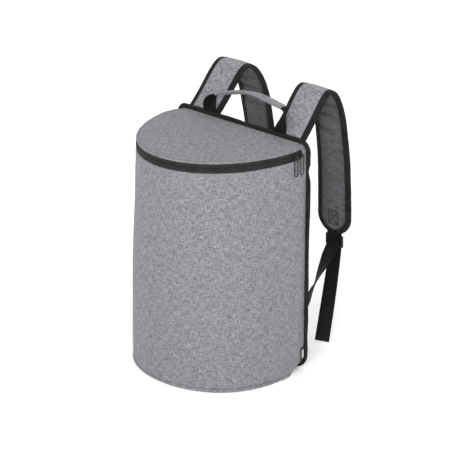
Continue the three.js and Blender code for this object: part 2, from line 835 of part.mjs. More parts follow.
// Zip slider: a plate on the coil with an arch for the pull
function sliderSolid() {
  const plate = new THREE.Shape();
  const l = sliderLength / 2;
  const h = sliderHeight / 2;
  const nose = sliderHeight * 0.28;
  plate.moveTo(-l, -h + nose);
  plate.lineTo(-l + nose, -h);
  plate.lineTo(l - nose, -h);
  plate.lineTo(l, -h + nose);
  plate.lineTo(l, h - nose);
  plate.lineTo(l - nose, h);
  plate.lineTo(-l + nose, h);
  plate.lineTo(-l, h - nose);
  plate.closePath();
  const body = new THREE.ExtrudeGeometry(plate, { depth: sliderPlate, bevelEnabled: false });
  const hole = archHole();
  const arch = new THREE.Shape();
  arch.absarc(archCentre(), 0, hole + archWall, 0, Math.PI * 2, false);
  const eye = new THREE.Path();
  eye.absarc(archCentre(), 0, hole, 0, Math.PI * 2, true);
  arch.holes.push(eye);
  const ring = new THREE.ExtrudeGeometry(arch, {
    depth: archWidth,
    bevelEnabled: false,
    curveSegments: 8,
  });
  ring.translate(0, 0, -archWidth / 2).rotateY(-Math.PI / 2);
  return join(body, ring);
}

// The hole in the arch lets the pull's square wire turn
function archHole() {
  return (pullWire * Math.SQRT2) / 2 + gap;
}

function archCentre() {
  return sliderPlate + archHole() + archWall * 0.4;
}

function pullSolid() {
  const r = pullWidth / 2;
  const top = pullWire / 2;
  const shape = new THREE.Shape();
  shape.moveTo(r, top);
  shape.lineTo(-r, top);
  shape.lineTo(-r, r - pullLength);
  shape.absarc(0, r - pullLength, r, Math.PI, 2 * Math.PI, false);
  shape.closePath();
  const i = r - pullWire;
  const eye = new THREE.Path();
  eye.moveTo(i, top - pullWire);
  eye.lineTo(-i, top - pullWire);
  eye.lineTo(-i, r - pullLength);
  eye.absarc(0, r - pullLength, i, Math.PI, 2 * Math.PI, false);
  eye.closePath();
  shape.holes.push(eye);
  const geometry = new THREE.ExtrudeGeometry(shape, {
    depth: pullWire,
    bevelEnabled: false,
    curveSegments: 6,
  });
  return geometry.translate(0, 0, -pullWire / 2);
}

// A plain loop label sewn into the right side seam, lying forward along the wall
function labelSolid() {
  const clear = wall * 0.2 + gap; // over the wall's swell
  const rings = [0, 0.35, 0.7, 1].map((t) => {
    const lift = clear + t * t * labelThick;
    const at = (z, out) => {
      const shape = outline(z);
      return onOutline(shape, 1 - (seamFlat + t * labelReach) / shape.total, z, out);
    };
    return [
      at(labelLow, lift),
      at(labelHigh, lift),
      at(labelHigh, lift + labelThick),
      at(labelLow, lift + labelThick),
    ];
  });
  return loft(rings);
}

// Bag
add("front_wall", bagWall(), cloth);
add("base_panel", basePlate(), cloth);
add("lid_panel", lidPanel(), cloth);
add("back_panel", backPanel(), lining);
add("back_binding", backBinding(), binding);
add("side_label", labelSolid(), labelCloth);

// Zip
const coilMiddle = zipTop - zipBand / 2;
const coilLow = coilMiddle - coilHeight / 2;
const coilHigh = coilMiddle + coilHeight / 2;
add("zip_tape_lower", zipStrip(zipLow + gap, coilLow - gap, -tapeRecess, tapeThick), webbing);
add("zip_coil", zipStrip(coilLow, coilHigh, coilProud, tapeThick), plastic);
add("zip_tape_upper", zipStrip(coilHigh + gap, zipTop, -tapeRecess, tapeThick), webbing);
const zipMiddle = outline(coilMiddle);
for (const row of sliders) {
  const place = zipMiddle.at(1 - row.from / zipMiddle.total);
  const out = point(place.nx, place.ny, 0).normalize();
  const up = point(0, 0, 1);
  const along = up.clone().cross(out);
  const holder = new THREE.Group();
  holder.quaternion.setFromRotationMatrix(new THREE.Matrix4().makeBasis(along, up, out));
  const seat = coilProud + gap;
  holder.position.set(place.x, backY - gap - place.away, coilMiddle).addScaledVector(out, seat);
  bag.add(holder);
  add("zip_slider_" + row.name, sliderSolid(), zipMetal, holder);
  add("zip_pull_" + row.name, pullSolid(), zipMetal, holder).position.z = archCentre();
}

// Straps
for (const row of strapRows) {
  const path = strapPath(row);
  const lock = lockFrame(path);
  add("strap_pad_" + row.name, strapPadSolid(path), cloth);
  add("strap_trim_" + row.name, strapTrimSolid(path), binding);
  const frame = add("ladder_lock_" + row.name, lockSolid(), plastic);
  const basis = new THREE.Matrix4().makeBasis(lock.across, lock.up, lock.outer);
  frame.quaternion.setFromRotationMatrix(basis);
  frame.position.copy(lock.middle);
  add("lock_tab_" + row.name, tabSolid(lock), webbing);
  add("adjuster_" + row.name, adjusterSolid(row, lock), webbing);
}

// Handle
add("handle_webbing", ribbon(handleStops(), handleWidth, webThick, handlePerSpan), webbing);
add("handle_sleeve", sleeveSolid(), cloth);

export default bag;
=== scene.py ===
"""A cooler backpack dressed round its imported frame: cloth, padding, bound seams, zip and webbing.

Metres, in the frame's own axes: X runs across the back, -Y is the front and the floor is z = 0."""

import functools
import math

import bmesh
import bpy
import numpy as np
from mathutils import Matrix, Vector, noise
from mathutils.bvhtree import BVHTree


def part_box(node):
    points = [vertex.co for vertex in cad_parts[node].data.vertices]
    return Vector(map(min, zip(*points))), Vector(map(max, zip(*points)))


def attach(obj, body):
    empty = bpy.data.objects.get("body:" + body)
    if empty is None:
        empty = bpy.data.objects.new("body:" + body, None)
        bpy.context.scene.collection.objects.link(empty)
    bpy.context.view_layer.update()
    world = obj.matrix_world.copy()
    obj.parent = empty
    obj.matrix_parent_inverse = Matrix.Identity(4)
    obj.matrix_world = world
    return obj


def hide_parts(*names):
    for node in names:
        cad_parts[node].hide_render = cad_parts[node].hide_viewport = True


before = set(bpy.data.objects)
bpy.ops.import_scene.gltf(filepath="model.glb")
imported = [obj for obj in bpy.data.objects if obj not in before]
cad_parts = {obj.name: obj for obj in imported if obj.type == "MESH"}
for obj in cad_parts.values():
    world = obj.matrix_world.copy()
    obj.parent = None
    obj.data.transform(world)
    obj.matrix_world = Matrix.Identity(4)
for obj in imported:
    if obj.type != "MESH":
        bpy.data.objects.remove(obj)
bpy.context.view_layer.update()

MM = 0.001
GAP = 0.3 * MM

# Body sizes, read from the frame
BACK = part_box("back_panel")[0].y
PANEL_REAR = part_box("back_panel")[1].y
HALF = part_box("back_panel")[1].x
SEAM_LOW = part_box("back_panel")[0].z
SEAM_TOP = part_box("back_panel")[1].z
WALL_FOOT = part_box("front_wall")[0].z
ZIP_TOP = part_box("front_wall")[1].z
ZIP_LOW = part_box("zip_tape_lower")[0].z - GAP
COIL_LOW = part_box("zip_coil")[0].z
COIL_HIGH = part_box("zip_coil")[1].z
LID_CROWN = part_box("lid_panel")[1].z - SEAM_TOP
BASE_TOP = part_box("base_panel")[1].z
TRIM_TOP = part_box("back_binding")[1].z
DEPTH = 2 * BACK

# Body sizes that its drawing names
WALL = 4 * MM
LID_SLAB = 3.6 * MM
SEAM_TUCK = 3.5 * MM  # how far the side seams draw the body in
CORNER_LOW = 25 * MM
CORNER_HIGH = 12 * MM
CORNER_BLEND = 45 * MM
BINDING_THICK = 5 * MM
BINDING_SIDE = 7 * MM
BINDING_TOP = TRIM_TOP - SEAM_TOP
SEAM_FLAT = BINDING_THICK / 2 + 2 * GAP
ZIP_END = 13 * MM
PATCH_SLOPE = 1.2 * MM
HEM = 8 * MM  # folded cloth under the zip, down to its stitching

# Rows: up is a share of the zip's height, reach of the depth, square fills out the front curve
PLAN_ROWS = {"up": (0, 0.5, 1), "reach": (1.005, 1.003, 1), "square": (0.62, 0.72, 0.92)}
# Rows: out is the wall's swell as a share of its thickness
SWELL_ROWS = {"up": (0, 0.06, 0.35, 0.7, 0.93, 1), "out": (0, 0.15, 0.4, 0.3, 0.1, 0)}
# The wall's slow waves: how the noise is stretched along, out and up, its size, seed and height
SLOW_WAVES = (((1, 1, 0.6), 62 * MM, 1, 0.9 * MM), ((1, 1, 0.8), 27 * MM, 2, 0.28 * MM))
# The wall's gathers under the zip, over its foot and by its seams: the same, then their reach
GATHERS = (
    ((1, 1, 0.12), 7.5 * MM, 3, 0.34 * MM, 11 * MM),
    ((1, 1, 0.15), 11 * MM, 4, 0.5 * MM, 12 * MM),
    ((0.25, 1, 1), 12 * MM, 5, 0.9 * MM, 13 * MM),
)
# Rows: the bound seam's dents down its sides, as shares of its width and thickness
DENT_ROWS = {
    "up": (0, 0.15, 0.24, 0.45, 0.62, 0.74, 0.84, 0.882, 0.92, 1),
    "out": (1, 0.8, 1.02, 0.86, 1, 1.12, 1, 0.16, 1.05, 1.1),
    "back": (0, 0.1, -0.1, 0.1, -0.12, 0.1, 0.25, 0.4, 0, 0),
}

# Shoulder straps
HARNESS_SHIFT = 6 * MM
STRAPS = {
    "left": {"side": -1, "crest": 76 * MM, "reach": 150 * MM, "turn": -4},
    "right": {"side": 1, "crest": 68 * MM, "reach": 122 * MM, "turn": 4},
}
STRAP_SPACING = 195 * MM
STRAP_WIDTH = 71 * MM
STRAP_PAD = 9 * MM
STRAP_EDGE = 4.6 * MM
TRIM_WIDTH = 7 * MM
TRIM_THICK = 5.4 * MM
STRAP_RISE = 65 * MM
STRAP_HANG = 212 * MM
STRAP_INSET = 3.6 * MM
PAD_HALF = STRAP_WIDTH / 2 - TRIM_WIDTH - GAP
# Rows of a strap's line: out and up as shares in front of the crest and behind it, then down
STRAP_FRONT = ((0, -0.028), (0.3, 0.3), (0.6, 0.68), (0.84, 0.93))
STRAP_REAR = ((0, 1), (0.2, 0.94), (0.41, 0.7), (0.58, 0.37), (0.7, 0))
STRAP_DROP = ((0.8, 0.15), (0.89, 0.31), (0.945, 0.51), (0.98, 0.73), (1, 1))
# Rows of a pad's section: across its half width, and the share of its swell
PAD_ROWS = {
    "across": (-1, -0.82, -0.45, 0, 0.45, 0.82, 1),
    "thick": (0, 0.62, 0.93, 1, 0.93, 0.62, 0),
}
# Creases on a strap's inner side: how far below the crest, and how deep
CREASES = ((14 * MM, 1.4 * MM), (34 * MM, 1.9 * MM), (56 * MM, 2.1 * MM), (82 * MM, 1.1 * MM))
CREASE_DEEPEST = max(deep for _, deep in CREASES)

# Webbing and ladder locks
WEB_WIDTH = 25 * MM
WEB_THICK = 1.6 * MM
LOCK_BAR = 3 * MM
LOCK_THICK = 3 * MM
LOCK_SLOT = 3.8 * MM
LOCK_LIP = 7 * MM
WRAP = math.hypot(LOCK_BAR, LOCK_THICK) / 2 + GAP + WEB_THICK / 2
TAB_SLOT = 2 * (WRAP + WEB_THICK / 2 - LOCK_BAR / 2) + GAP
TAB_LENGTH = TAB_SLOT + LOCK_BAR * 1.5 + 2 * GAP
ANCHOR_HEIGHT = 131 * MM
TAIL_LENGTH = 171 * MM
TAIL_SWING = 32 * MM
TAIL_TWIST = 32  # degrees
TAIL_HEM = 12 * MM

# Carry handle, its webbing folded in half inside the sleeve
HANDLE_SPAN = 160 * MM
HANDLE_RISE = 52 * MM
HANDLE_WIDTH = 30 * MM
FOLD = 0.45  # width of the folded webbing, as a share of the whole
SLEEVE_THICK = 5.4 * MM
SLEEVE_WIDTH = 17 * MM
SLEEVE_FROM = 0.24
SLEEVE_TO = 0.78
# Rows of the handle's line: across its half span, up its rise and back, as shares; the webbing's
# turn and tilt in degrees; its width as a share, and its layers
HANDLE_ROWS = (
    (-1, 0, 0, 0, 0, 1, 1), (-1.03, 0.15, 0, -6, 0, 0.9, 1), (-1, 0.36, 0, -30, 0, 0.7, 1.4),
    (-0.91, 0.57, 0.02, -65, 0, FOLD, 2), (-0.73, 0.68, 0.08, -88, -12, FOLD, 2),
    (-0.46, 0.8, 0.12, -90, -26, FOLD, 2), (-0.17, 0.91, 0.12, -90, -26, FOLD, 2),
    (0.1, 0.99, 0.1, -90, -16, FOLD, 2), (0.39, 1, 0.06, -90, -5, FOLD, 2),
    (0.67, 0.96, 0.03, -90, 0, FOLD, 2), (0.94, 0.91, 0, -92, 0, FOLD, 2),
    (1.09, 0.86, 0, -100, 0, FOLD, 2), (1.14, 0.72, 0, -128, 0, FOLD, 2),
    (1.09, 0.42, 0, -158, 0, 0.7, 1.4), (0.98, 0, 0, -180, 0, 0.95, 1),
)

LABEL_LOW = 22 * MM
LABEL_HIGH = 45 * MM
LABEL_REACH = 10 * MM
LABEL_THICK = 1.2 * MM


def placed(name, data):
    """A new object in the scene."""
    obj = bpy.data.objects.new(name, data)
    bpy.context.scene.collection.objects.link(obj)
    return obj


def seen(obj):
    """An object with its modifiers worked out."""
    return obj.evaluated_get(bpy.context.evaluated_depsgraph_get())


def turned_to(place, looked_at):
    """The turn that makes a camera or a lamp at a place look at a point."""
    return (place - looked_at).to_track_quat("Z", "Y").to_euler()


def camera():
    """The photograph's view."""
    azimuth = math.radians(44)
    elevation = math.radians(22.5)
    distance = 4.04
    aim = Vector((0, 0, 0.202))
    right = Vector((math.cos(azimuth), math.sin(azimuth), 0))
    back = Vector((
        math.sin(azimuth) * math.cos(elevation),
        -math.cos(azimuth) * math.cos(elevation),
        math.sin(elevation),
    ))
    up = back.cross(right)
    beside, above = 41.3 * MM, 48.4 * MM  # the bag stands left of the picture's middle and below it
    looked_at = aim + right * beside + up * above
    data = bpy.data.cameras.new("view")
    data.sensor_width = 36
    data.lens = 190.3
    data.clip_end = 50
    eye = placed("view", data)
    eye.location = aim + back * distance
    eye.rotation_euler = turned_to(eye.location, looked_at)
    bpy.context.scene.camera = eye


def studio():
    """A pale floor and soft light."""
    scene = bpy.context.scene
    scene.view_settings.view_transform = "Standard"
    world = bpy.data.worlds.new("studio")
    world.use_nodes = True
    sky = world.node_tree.nodes["Background"]
    sky.inputs["Color"].default_value = (1, 1, 1, 1)
    sky.inputs["Strength"].default_value = 1.0
    scene.world = world
    half = 9
    corners = [(-half, -half, 0), (half, -half, 0), (half, half, 0), (-half, half, 0)]
    mesh = bpy.data.meshes.new("floor")
    mesh.from_pydata(corners, [], [(0, 1, 2, 3)])
    floor = placed("floor", mesh)
    shade = Shade("pale_floor")
    glow = {"Emission Color": (1, 1, 1, 1), "Emission Strength": 0.06}  # a lit table
    shade.surface({"Base Color": (0.93, 0.93, 0.935, 1), "Roughness": 0.9, **glow})
    mesh.materials.append(shade.material)
    middle = Vector((0, 0, 0.25))
    # Lamps: name, place, size and power
    lamps = (("key", (1.8, -2.1, 1.6), 1.3, 68), ("rear", (-1.2, 2.6, 1.9), 1.8, 10))
    for name, place, size, power in lamps:
        light = bpy.data.lights.new(name, "AREA")
        light.size = size
        light.energy = power
        lamp = placed(name, light)
        lamp.location = place
        lamp.rotation_euler = turned_to(lamp.location, middle)


# Materials

def operator(operation, swapped=False):
    """An operator of Flow, which adds one Math node. Swapped puts the other value first."""
    def act(flow, other):
        values = [other, flow] if swapped else [flow, other]
        return flow.shade.node("ShaderNodeMath", {"operation": operation}, values)

    return act


class Flow:
    """A socket's value in a sum: each operator adds its Math node."""

    __add__, __radd__ = operator("ADD"), operator("ADD", True)
    __sub__, __rsub__ = operator("SUBTRACT"), operator("SUBTRACT", True)
    __mul__, __rmul__ = operator("MULTIPLY"), operator("MULTIPLY", True)
    __truediv__, __rtruediv__ = operator("DIVIDE"), operator("DIVIDE", True)

    def __init__(self, shade, socket):
        self.shade = shade
        self.socket = socket

    def math(self, operation, *others):
        return self.shade.node("ShaderNodeMath", {"operation": operation}, [self, *others])

    def floor(self):
        return self.math("FLOOR")

    def fract(self):
        return self.math("FRACT")

    def sine(self):
        return self.math("SINE")

    def wave(self, length):
        """A sine wave of that length, from 0 to 1."""
        return (self / length * (2 * math.pi)).sine() * 0.5 + 0.5

    def size(self):
        return self.math("ABSOLUTE")

    def over(self, limit):
        return self.math("GREATER_THAN", limit)

    def clamp(self):
        return self.math("MAXIMUM", 0).math("MINIMUM", 1)


GLOSS = {
    "metal": "Metallic",
    "specular": "Specular IOR Level",
    "sheen": "Sheen Weight",
    "sheen_rough": "Sheen Roughness",
}


class Shade:
    """One material: its nodes come from one method, and its surface from another."""

    def __init__(self, name):
        self.material = bpy.data.materials.new(name)
        self.material.use_nodes = True
        self.tree = self.material.node_tree
        self.tree.nodes.clear()

    def node(self, kind, settings=None, values=(), out=0):
        """Add a node: its settings first, then the value or link of each socket. Gives one output."""
        made = self.tree.nodes.new(kind)
        for key, value in (settings or {}).items():
            setattr(made, key, value)
        pairs = values.items() if isinstance(values, dict) else enumerate(values)
        for key, value in pairs:
            if isinstance(value, Flow):
                self.tree.links.new(value.socket, made.inputs[key])
            else:
                made.inputs[key].default_value = value
        return None if out is None else Flow(self, made.outputs[out])

    def uv(self):
        """The piece's UV map, in metres: across the cloth and along it."""
        both = self.node("ShaderNodeUVMap", {"uv_map": "UVMap"})
        return (
            self.node("ShaderNodeSeparateXYZ", None, [both], "X"),
            self.node("ShaderNodeSeparateXYZ", None, [both], "Y"),
        )

    def noise(self, x, y, detail=0.0):
        """Smooth noise on two values, stretched to run from about 0 to 1."""
        place = self.node("ShaderNodeCombineXYZ", None, [x, y])
        settings = {"noise_dimensions": "2D"}
        values = {"Vector": place, "Scale": 1.0, "Detail": detail}
        return (self.node("ShaderNodeTexNoise", settings, values) - 0.5) * 1.7 + 0.5

    def cloud(self, scale, detail=2.0):
        """Smooth noise in the piece's own space, with scale bumps to the metre."""
        place = self.node("ShaderNodeTexCoord", None, (), "Object")
        values = {"Vector": place, "Scale": scale, "Detail": detail}
        return self.node("ShaderNodeTexNoise", {"noise_dimensions": "3D"}, values)

    def mix(self, share, first, second):
        """From the first colour to the second, by a share. The node's colour sockets are 6 and 7."""
        values = {"Factor": share, 6: first, 7: second}
        return self.node("ShaderNodeMix", {"data_type": "RGBA"}, values, 2)

    def bump(self, height, depth, strength):
        """Relief of a height from 0 to 1, at its depth in metres."""
        values = {"Height": height, "Distance": depth, "Strength": strength}
        return self.node("ShaderNodeBump", None, values)

    def surface(self, values):
        shader = self.node("ShaderNodeBsdfPrincipled", None, values)
        self.node("ShaderNodeOutputMaterial", None, {"Surface": shader}, None)
        return self.material

    def finish(self, colour, rough, relief, **gloss):
        """The finished material. relief is a height from 0 to 1, its depth and its strength."""
        values = {"Base Color": colour, "Roughness": rough, "Normal": self.bump(*relief)}
        values.update({GLOSS[name]: value for name, value in gloss.items()})
        return self.surface(values)


def grey(value, blue=0.0):
    """A grey, with that much more blue than red."""
    return (value, value, value * (1 + blue), 1)


def plain_weave(shade, u, v, pitch):
    """Which thread lies on top, and how high the cloth is, for a plain weave."""
    a, b = u / pitch, v / pitch
    over = ((a.floor() + b.floor()) * 0.5).fract() * 2
    along = (a.fract() * math.pi).sine()
    across = (b.fract() * math.pi).sine()
    weft = across * (0.5 + 0.5 * along)
    warp = along * (0.5 + 0.5 * across)
    return over, weft * over + warp * (1 - over)


def heather(name, dark, light, contrast=1.0):
    """Two-tone heather cloth: each thread has its own shade, and slubs run both ways."""
    shade = Shade(name)
    u, v = shade.uv()
    pitch = 0.62 * MM
    over, height = plain_weave(shade, u, v, pitch)
    slub = 9.0  # threads that a light or dark stretch of one thread crosses
    a, b = u / pitch, v / pitch
    weft = shade.noise(a / slub, b.floor() * 3.7)
    warp = shade.noise(a.floor() * 3.7 + 40.0, b / slub)
    thread = weft * over + warp * (1 - over)
    wide = 1.5 * MM  # width of the streaks that show from afar
    long = 11 * MM
    level = shade.noise(u / long, v / wide, 1.0)
    upright = shade.noise(u / wide + 60.0, v / long, 1.0)
    mottle = shade.cloud(55.0)
    share = 0.5
    for pattern, weight in ((thread, 0.6), (level, 0.5), (upright, 0.44), (mottle, 0.12)):
        share = share + (pattern - 0.5) * (weight * contrast)
    colour = shade.mix(share.clamp(), dark, light)
    relief = (height, 0.12 * MM, 0.7)
    return shade.finish(colour, 0.9, relief, specular=0.25, sheen=0.12, sheen_rough=0.5)


def tape_cloth(name, dark, light, rib, depth, sheen):
    """Woven tape: ribs across it, with a fleck of wear."""
    shade = Shade(name)
    u, v = shade.uv()
    ribs = u.wave(rib)
    threads = v.wave(rib * 0.8)
    height = ribs * (0.7 + 0.3 * threads)
    wear = shade.cloud(70.0, 3.0)
    share = (0.25 + ribs * 0.35 + (wear - 0.5) * 1.6).clamp()
    rough = (0.75 + (wear - 0.5) * 0.3).clamp()
    relief = (height, depth, 0.8)
    return shade.finish(shade.mix(share, dark, light), rough, relief, specular=0.15, sheen=sheen)


def webbing_cloth():
    """Near-black polypropylene webbing: ribs along it, crossed by a herringbone of threads."""
    shade = Shade("webbing")
    u, v = shade.uv()
    rib = 2.4 * MM
    place = u / rib
    side = ((place * 0.5).fract().over(0.5)) * 2 - 1
    slant = v / (1.5 * MM) + side * (place.fract() - 0.5)
    threads = slant.wave(1)
    ribs = (place.fract() * math.pi).sine()
    height = ribs * 0.7 + threads * 0.5
    wear = shade.cloud(60.0, 3.0)
    share = (threads * ribs * 0.9 + (wear - 0.5) * 0.8).clamp()
    colour = shade.mix(share, grey(0.002, 0.05), grey(0.013, 0.05))
    rough = (0.6 + (wear - 0.5) * 0.3).clamp()
    return shade.finish(colour, rough, (height, 0.35 * MM, 0.8), specular=0.1, sheen=0.01)


def mesh_lining():
    """Dark mesh on the straps' inner sides: rows of small holes and ribs over a grey ground.

    The mesh's own attribute "deep" is painted shade: it darkens the lining in its creases and in the
    valleys by its bound edges."""
    shade = Shade("strap_lining")
    u, v = shade.uv()
    cell = 1.5 * MM
    a, b = u / cell, v / cell
    shifted = a + (b.floor() * 0.5).fract()
    dx = (shifted.fract() - 0.5) * 2
    dy = (b.fract() - 0.5) * 2
    hole = (1 - (dx * dx + dy * dy) * 1.4).clamp()
    mottle = shade.cloud(90.0, 3.0)
    ribs = shade.noise(u / (1.2 * MM), v / (4 * MM))
    # Painted shade: the attribute deep darkens the lining in its creases and in the valleys by its
    # bound edges
    deep = shade.node("ShaderNodeAttribute", {"attribute_name": "deep"}, (), "Fac")
    share = (0.66 + (mottle - 0.5) * 0.6 + (ribs - 0.5) * 0.4 - hole * 0.45 - deep).clamp()
    colour = shade.mix(share, grey(0.01, 0.08), grey(0.15, 0.08))
    return shade.finish(colour, 0.95, (1 - hole, 0.3 * MM, 0.8), specular=0.2, sheen=0.1)


def zip_tape_cloth():
    """Black zip tape: fine lines along it."""
    shade = Shade("zip_tape")
    u, v = shade.uv()
    lines = v.wave(1.1 * MM)
    twill = (u + v).wave(0.8 * MM)
    wear = shade.cloud(80.0, 3.0)
    share = (lines * 0.35 + twill * 0.2 + (wear - 0.5) * 1.2).clamp()
    colour = shade.mix(share, grey(0.006), grey(0.022))
    return shade.finish(colour, 0.75, (lines + twill * 0.5, 0.25 * MM, 0.7), specular=0.3)


def moulded(name, colour, rough, metal=0.0, grain=0.05 * MM):
    """Moulded plastic or lacquered metal, slightly uneven and rubbed."""
    shade = Shade(name)
    rub = shade.cloud(140.0, 4.0)
    fine = shade.cloud(2500.0, 2.0)
    bright = tuple(min(1.0, c * 2.2 + 0.01) for c in colour[:3]) + (1,)
    rubbed = shade.mix(((rub - 0.45) * 1.5).clamp(), colour, bright)
    uneven = (rough + (rub - 0.5) * 0.35).clamp()
    return shade.finish(rubbed, uneven, (fine, grain, 0.4), metal=metal, specular=0.5)


def label_cloth():
    """Woven label: black, with a bare pale field in the middle. Its UV map runs from 0 to 1."""
    shade = Shade("side_label")
    u, v = shade.uv()
    field = (0.30 - (u - 0.5).size()).over(0) * (0.33 - (v - 0.5).size()).over(0)
    threads = 46
    lines = v.wave(1 / threads)
    wear = shade.cloud(400.0, 2.0)
    black = shade.mix((lines * 0.4 + (wear - 0.4)).clamp(), grey(0.008), grey(0.03))
    pale = shade.mix((lines * 0.5 + (wear - 0.4)).clamp(), grey(0.42), grey(0.7))
    return shade.finish(shade.mix(field, black, pale), 0.7, (lines, 0.12 * MM, 0.6))


def thread(name, colour):
    """Twisted sewing thread."""
    shade = Shade(name)
    twist = shade.cloud(3000.0, 1.0)
    dark = tuple(c * 0.7 for c in colour[:3]) + (1,)
    return shade.finish(shade.mix(twist, dark, colour), 0.6, (twist, 0.05 * MM, 0.5))


# Mesh helpers

def table(rows, key, at, column):
    """A column of the rows, read at values of its key."""
    return np.interp(at, rows[key], rows[column])


def waver(points, size, seed=0):
    """Smooth noise from about -1 to 1 at each point, its bumps about so far apart."""
    shift = Vector((seed * 17.3, seed * 5.1, seed * 9.7))
    flat = points.reshape(-1, 3) / size
    values = [noise.noise(Vector(p) + shift) for p in flat]
    return np.array(values).reshape(points.shape[:-1])


def unit(vectors):
    """The vectors at length 1."""
    return vectors / np.maximum(np.linalg.norm(vectors, axis=-1, keepdims=True), 1e-12)


def running(points):
    """Length along a line of points, up to each of them."""
    steps = np.linalg.norm(np.diff(points, axis=0), axis=1)
    return np.concatenate([[0], np.cumsum(steps)])


def spline(points, per_span):
    """A smooth line through points, with so many steps between two of them."""
    known = np.array(points, float)
    known = np.vstack([2 * known[0] - known[1], known, 2 * known[-1] - known[-2]])
    made = []
    for a, b, c, d in zip(known, known[1:], known[2:], known[3:]):
        before, here, after = (np.linalg.norm(q - p) ** 0.5 for p, q in ((a, b), (b, c), (c, d)))
        leave = ((b - a) / before - (c - a) / (before + here) + (c - b) / here) * here
        arrive = ((c - b) / here - (d - b) / (here + after) + (d - c) / after) * here
        for t in np.linspace(0, 1, per_span, endpoint=False):
            made.append(
                b + leave * t
                + (3 * (c - b) - 2 * leave - arrive) * t**2
                + (2 * (b - c) + leave + arrive) * t**3
            )
    made.append(known[-2])
    return np.array(made)


def uv_grid(u, v):
    """A UV map for a grid, from two arrays that spread to its shape."""
    return np.stack(np.broadcast_arrays(u, v), -1)


def woven(name, points, uv, loop_rows=False):
    """A closed mesh over a grid of points. Its columns close, and its rows close too or get caps.

    uv has one more column than the grid, and one more row where the rows close."""
    rows, cols = points.shape[:2]
    i, j = np.meshgrid(np.arange(rows if loop_rows else rows - 1), np.arange(cols), indexing="ij")

    def at(row, col):
        return (row % rows) * cols + col % cols

    quads = np.stack([at(i, j), at(i, j + 1), at(i + 1, j + 1), at(i + 1, j)], -1).reshape(-1, 4)
    corners = np.stack([uv[i, j], uv[i, j + 1], uv[i + 1, j + 1], uv[i + 1, j]], -2).reshape(-1, 2)
    faces = quads.tolist()
    if not loop_rows:
        first = list(range(cols))
        last = list(range((rows - 1) * cols, rows * cols))
        faces += [first[::-1], last]
        corners = np.vstack([corners, uv[0, :cols][::-1], uv[rows - 1, :cols]])
    mesh = bpy.data.meshes.new(name)
    mesh.from_pydata(points.reshape(-1, 3).tolist(), [], faces)
    mesh.uv_layers.new(name="UVMap").data.foreach_set("uv", corners.astype(np.float32).ravel())
    turn_out(mesh)
    mesh.shade_smooth()
    return mesh


def turn_out(mesh):
    """Turn the faces of a closed mesh outwards."""
    work = bmesh.new()
    work.from_mesh(mesh)
    inward = work.calc_volume(signed=True) < 0
    work.free()
    if inward:
        mesh.flip_normals()


def piece(name, mesh, materials, node=None, body="bag"):
    """A finished piece that rides on a body and stands for its CAD node."""
    obj = placed(name, mesh)
    for material in materials:
        mesh.materials.append(material)
    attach(obj, body)
    if node:
        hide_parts(node)
    return obj


def swell(mesh, free, pressure, most):
    """Blow up the free points of a pad by a short cloth simulation, by at most so much."""
    scene = bpy.context.scene
    obj = placed("pad", mesh)
    held = obj.vertex_groups.new(name="held")
    for index, share in enumerate(1 - free.ravel()):
        held.add([index], float(share), "REPLACE")
    cloth = obj.modifiers.new("swell", "CLOTH")
    settings = {
        "quality": 5, "mass": 0.3, "tension_stiffness": 12, "compression_stiffness": 12,
        "shear_stiffness": 4, "bending_stiffness": 0.4, "use_pressure": True,
        "uniform_pressure_force": pressure, "vertex_group_mass": "held",
    }
    for key, value in settings.items():
        setattr(cloth.settings, key, value)
    cloth.settings.effector_weights.gravity = 0
    last_frame = 20
    cloth.point_cache.frame_start = 1
    cloth.point_cache.frame_end = last_frame
    for number in range(1, last_frame + 1):
        scene.frame_set(number)
    count = len(mesh.vertices)
    rest = np.zeros(count * 3)
    moved = np.zeros(count * 3)
    mesh.vertices.foreach_get("co", rest)
    seen(obj).data.vertices.foreach_get("co", moved)
    shift = (moved - rest).reshape(-1, 3)
    far = np.linalg.norm(shift, axis=1, keepdims=True)
    shift *= np.minimum(1, most / np.maximum(far, 1e-9))
    obj.modifiers.remove(cloth)
    bpy.data.objects.remove(obj)
    scene.frame_set(1)
    mesh.vertices.foreach_set("co", (rest.reshape(-1, 3) + shift).ravel())
    mesh.update()


# Small shapes along a line

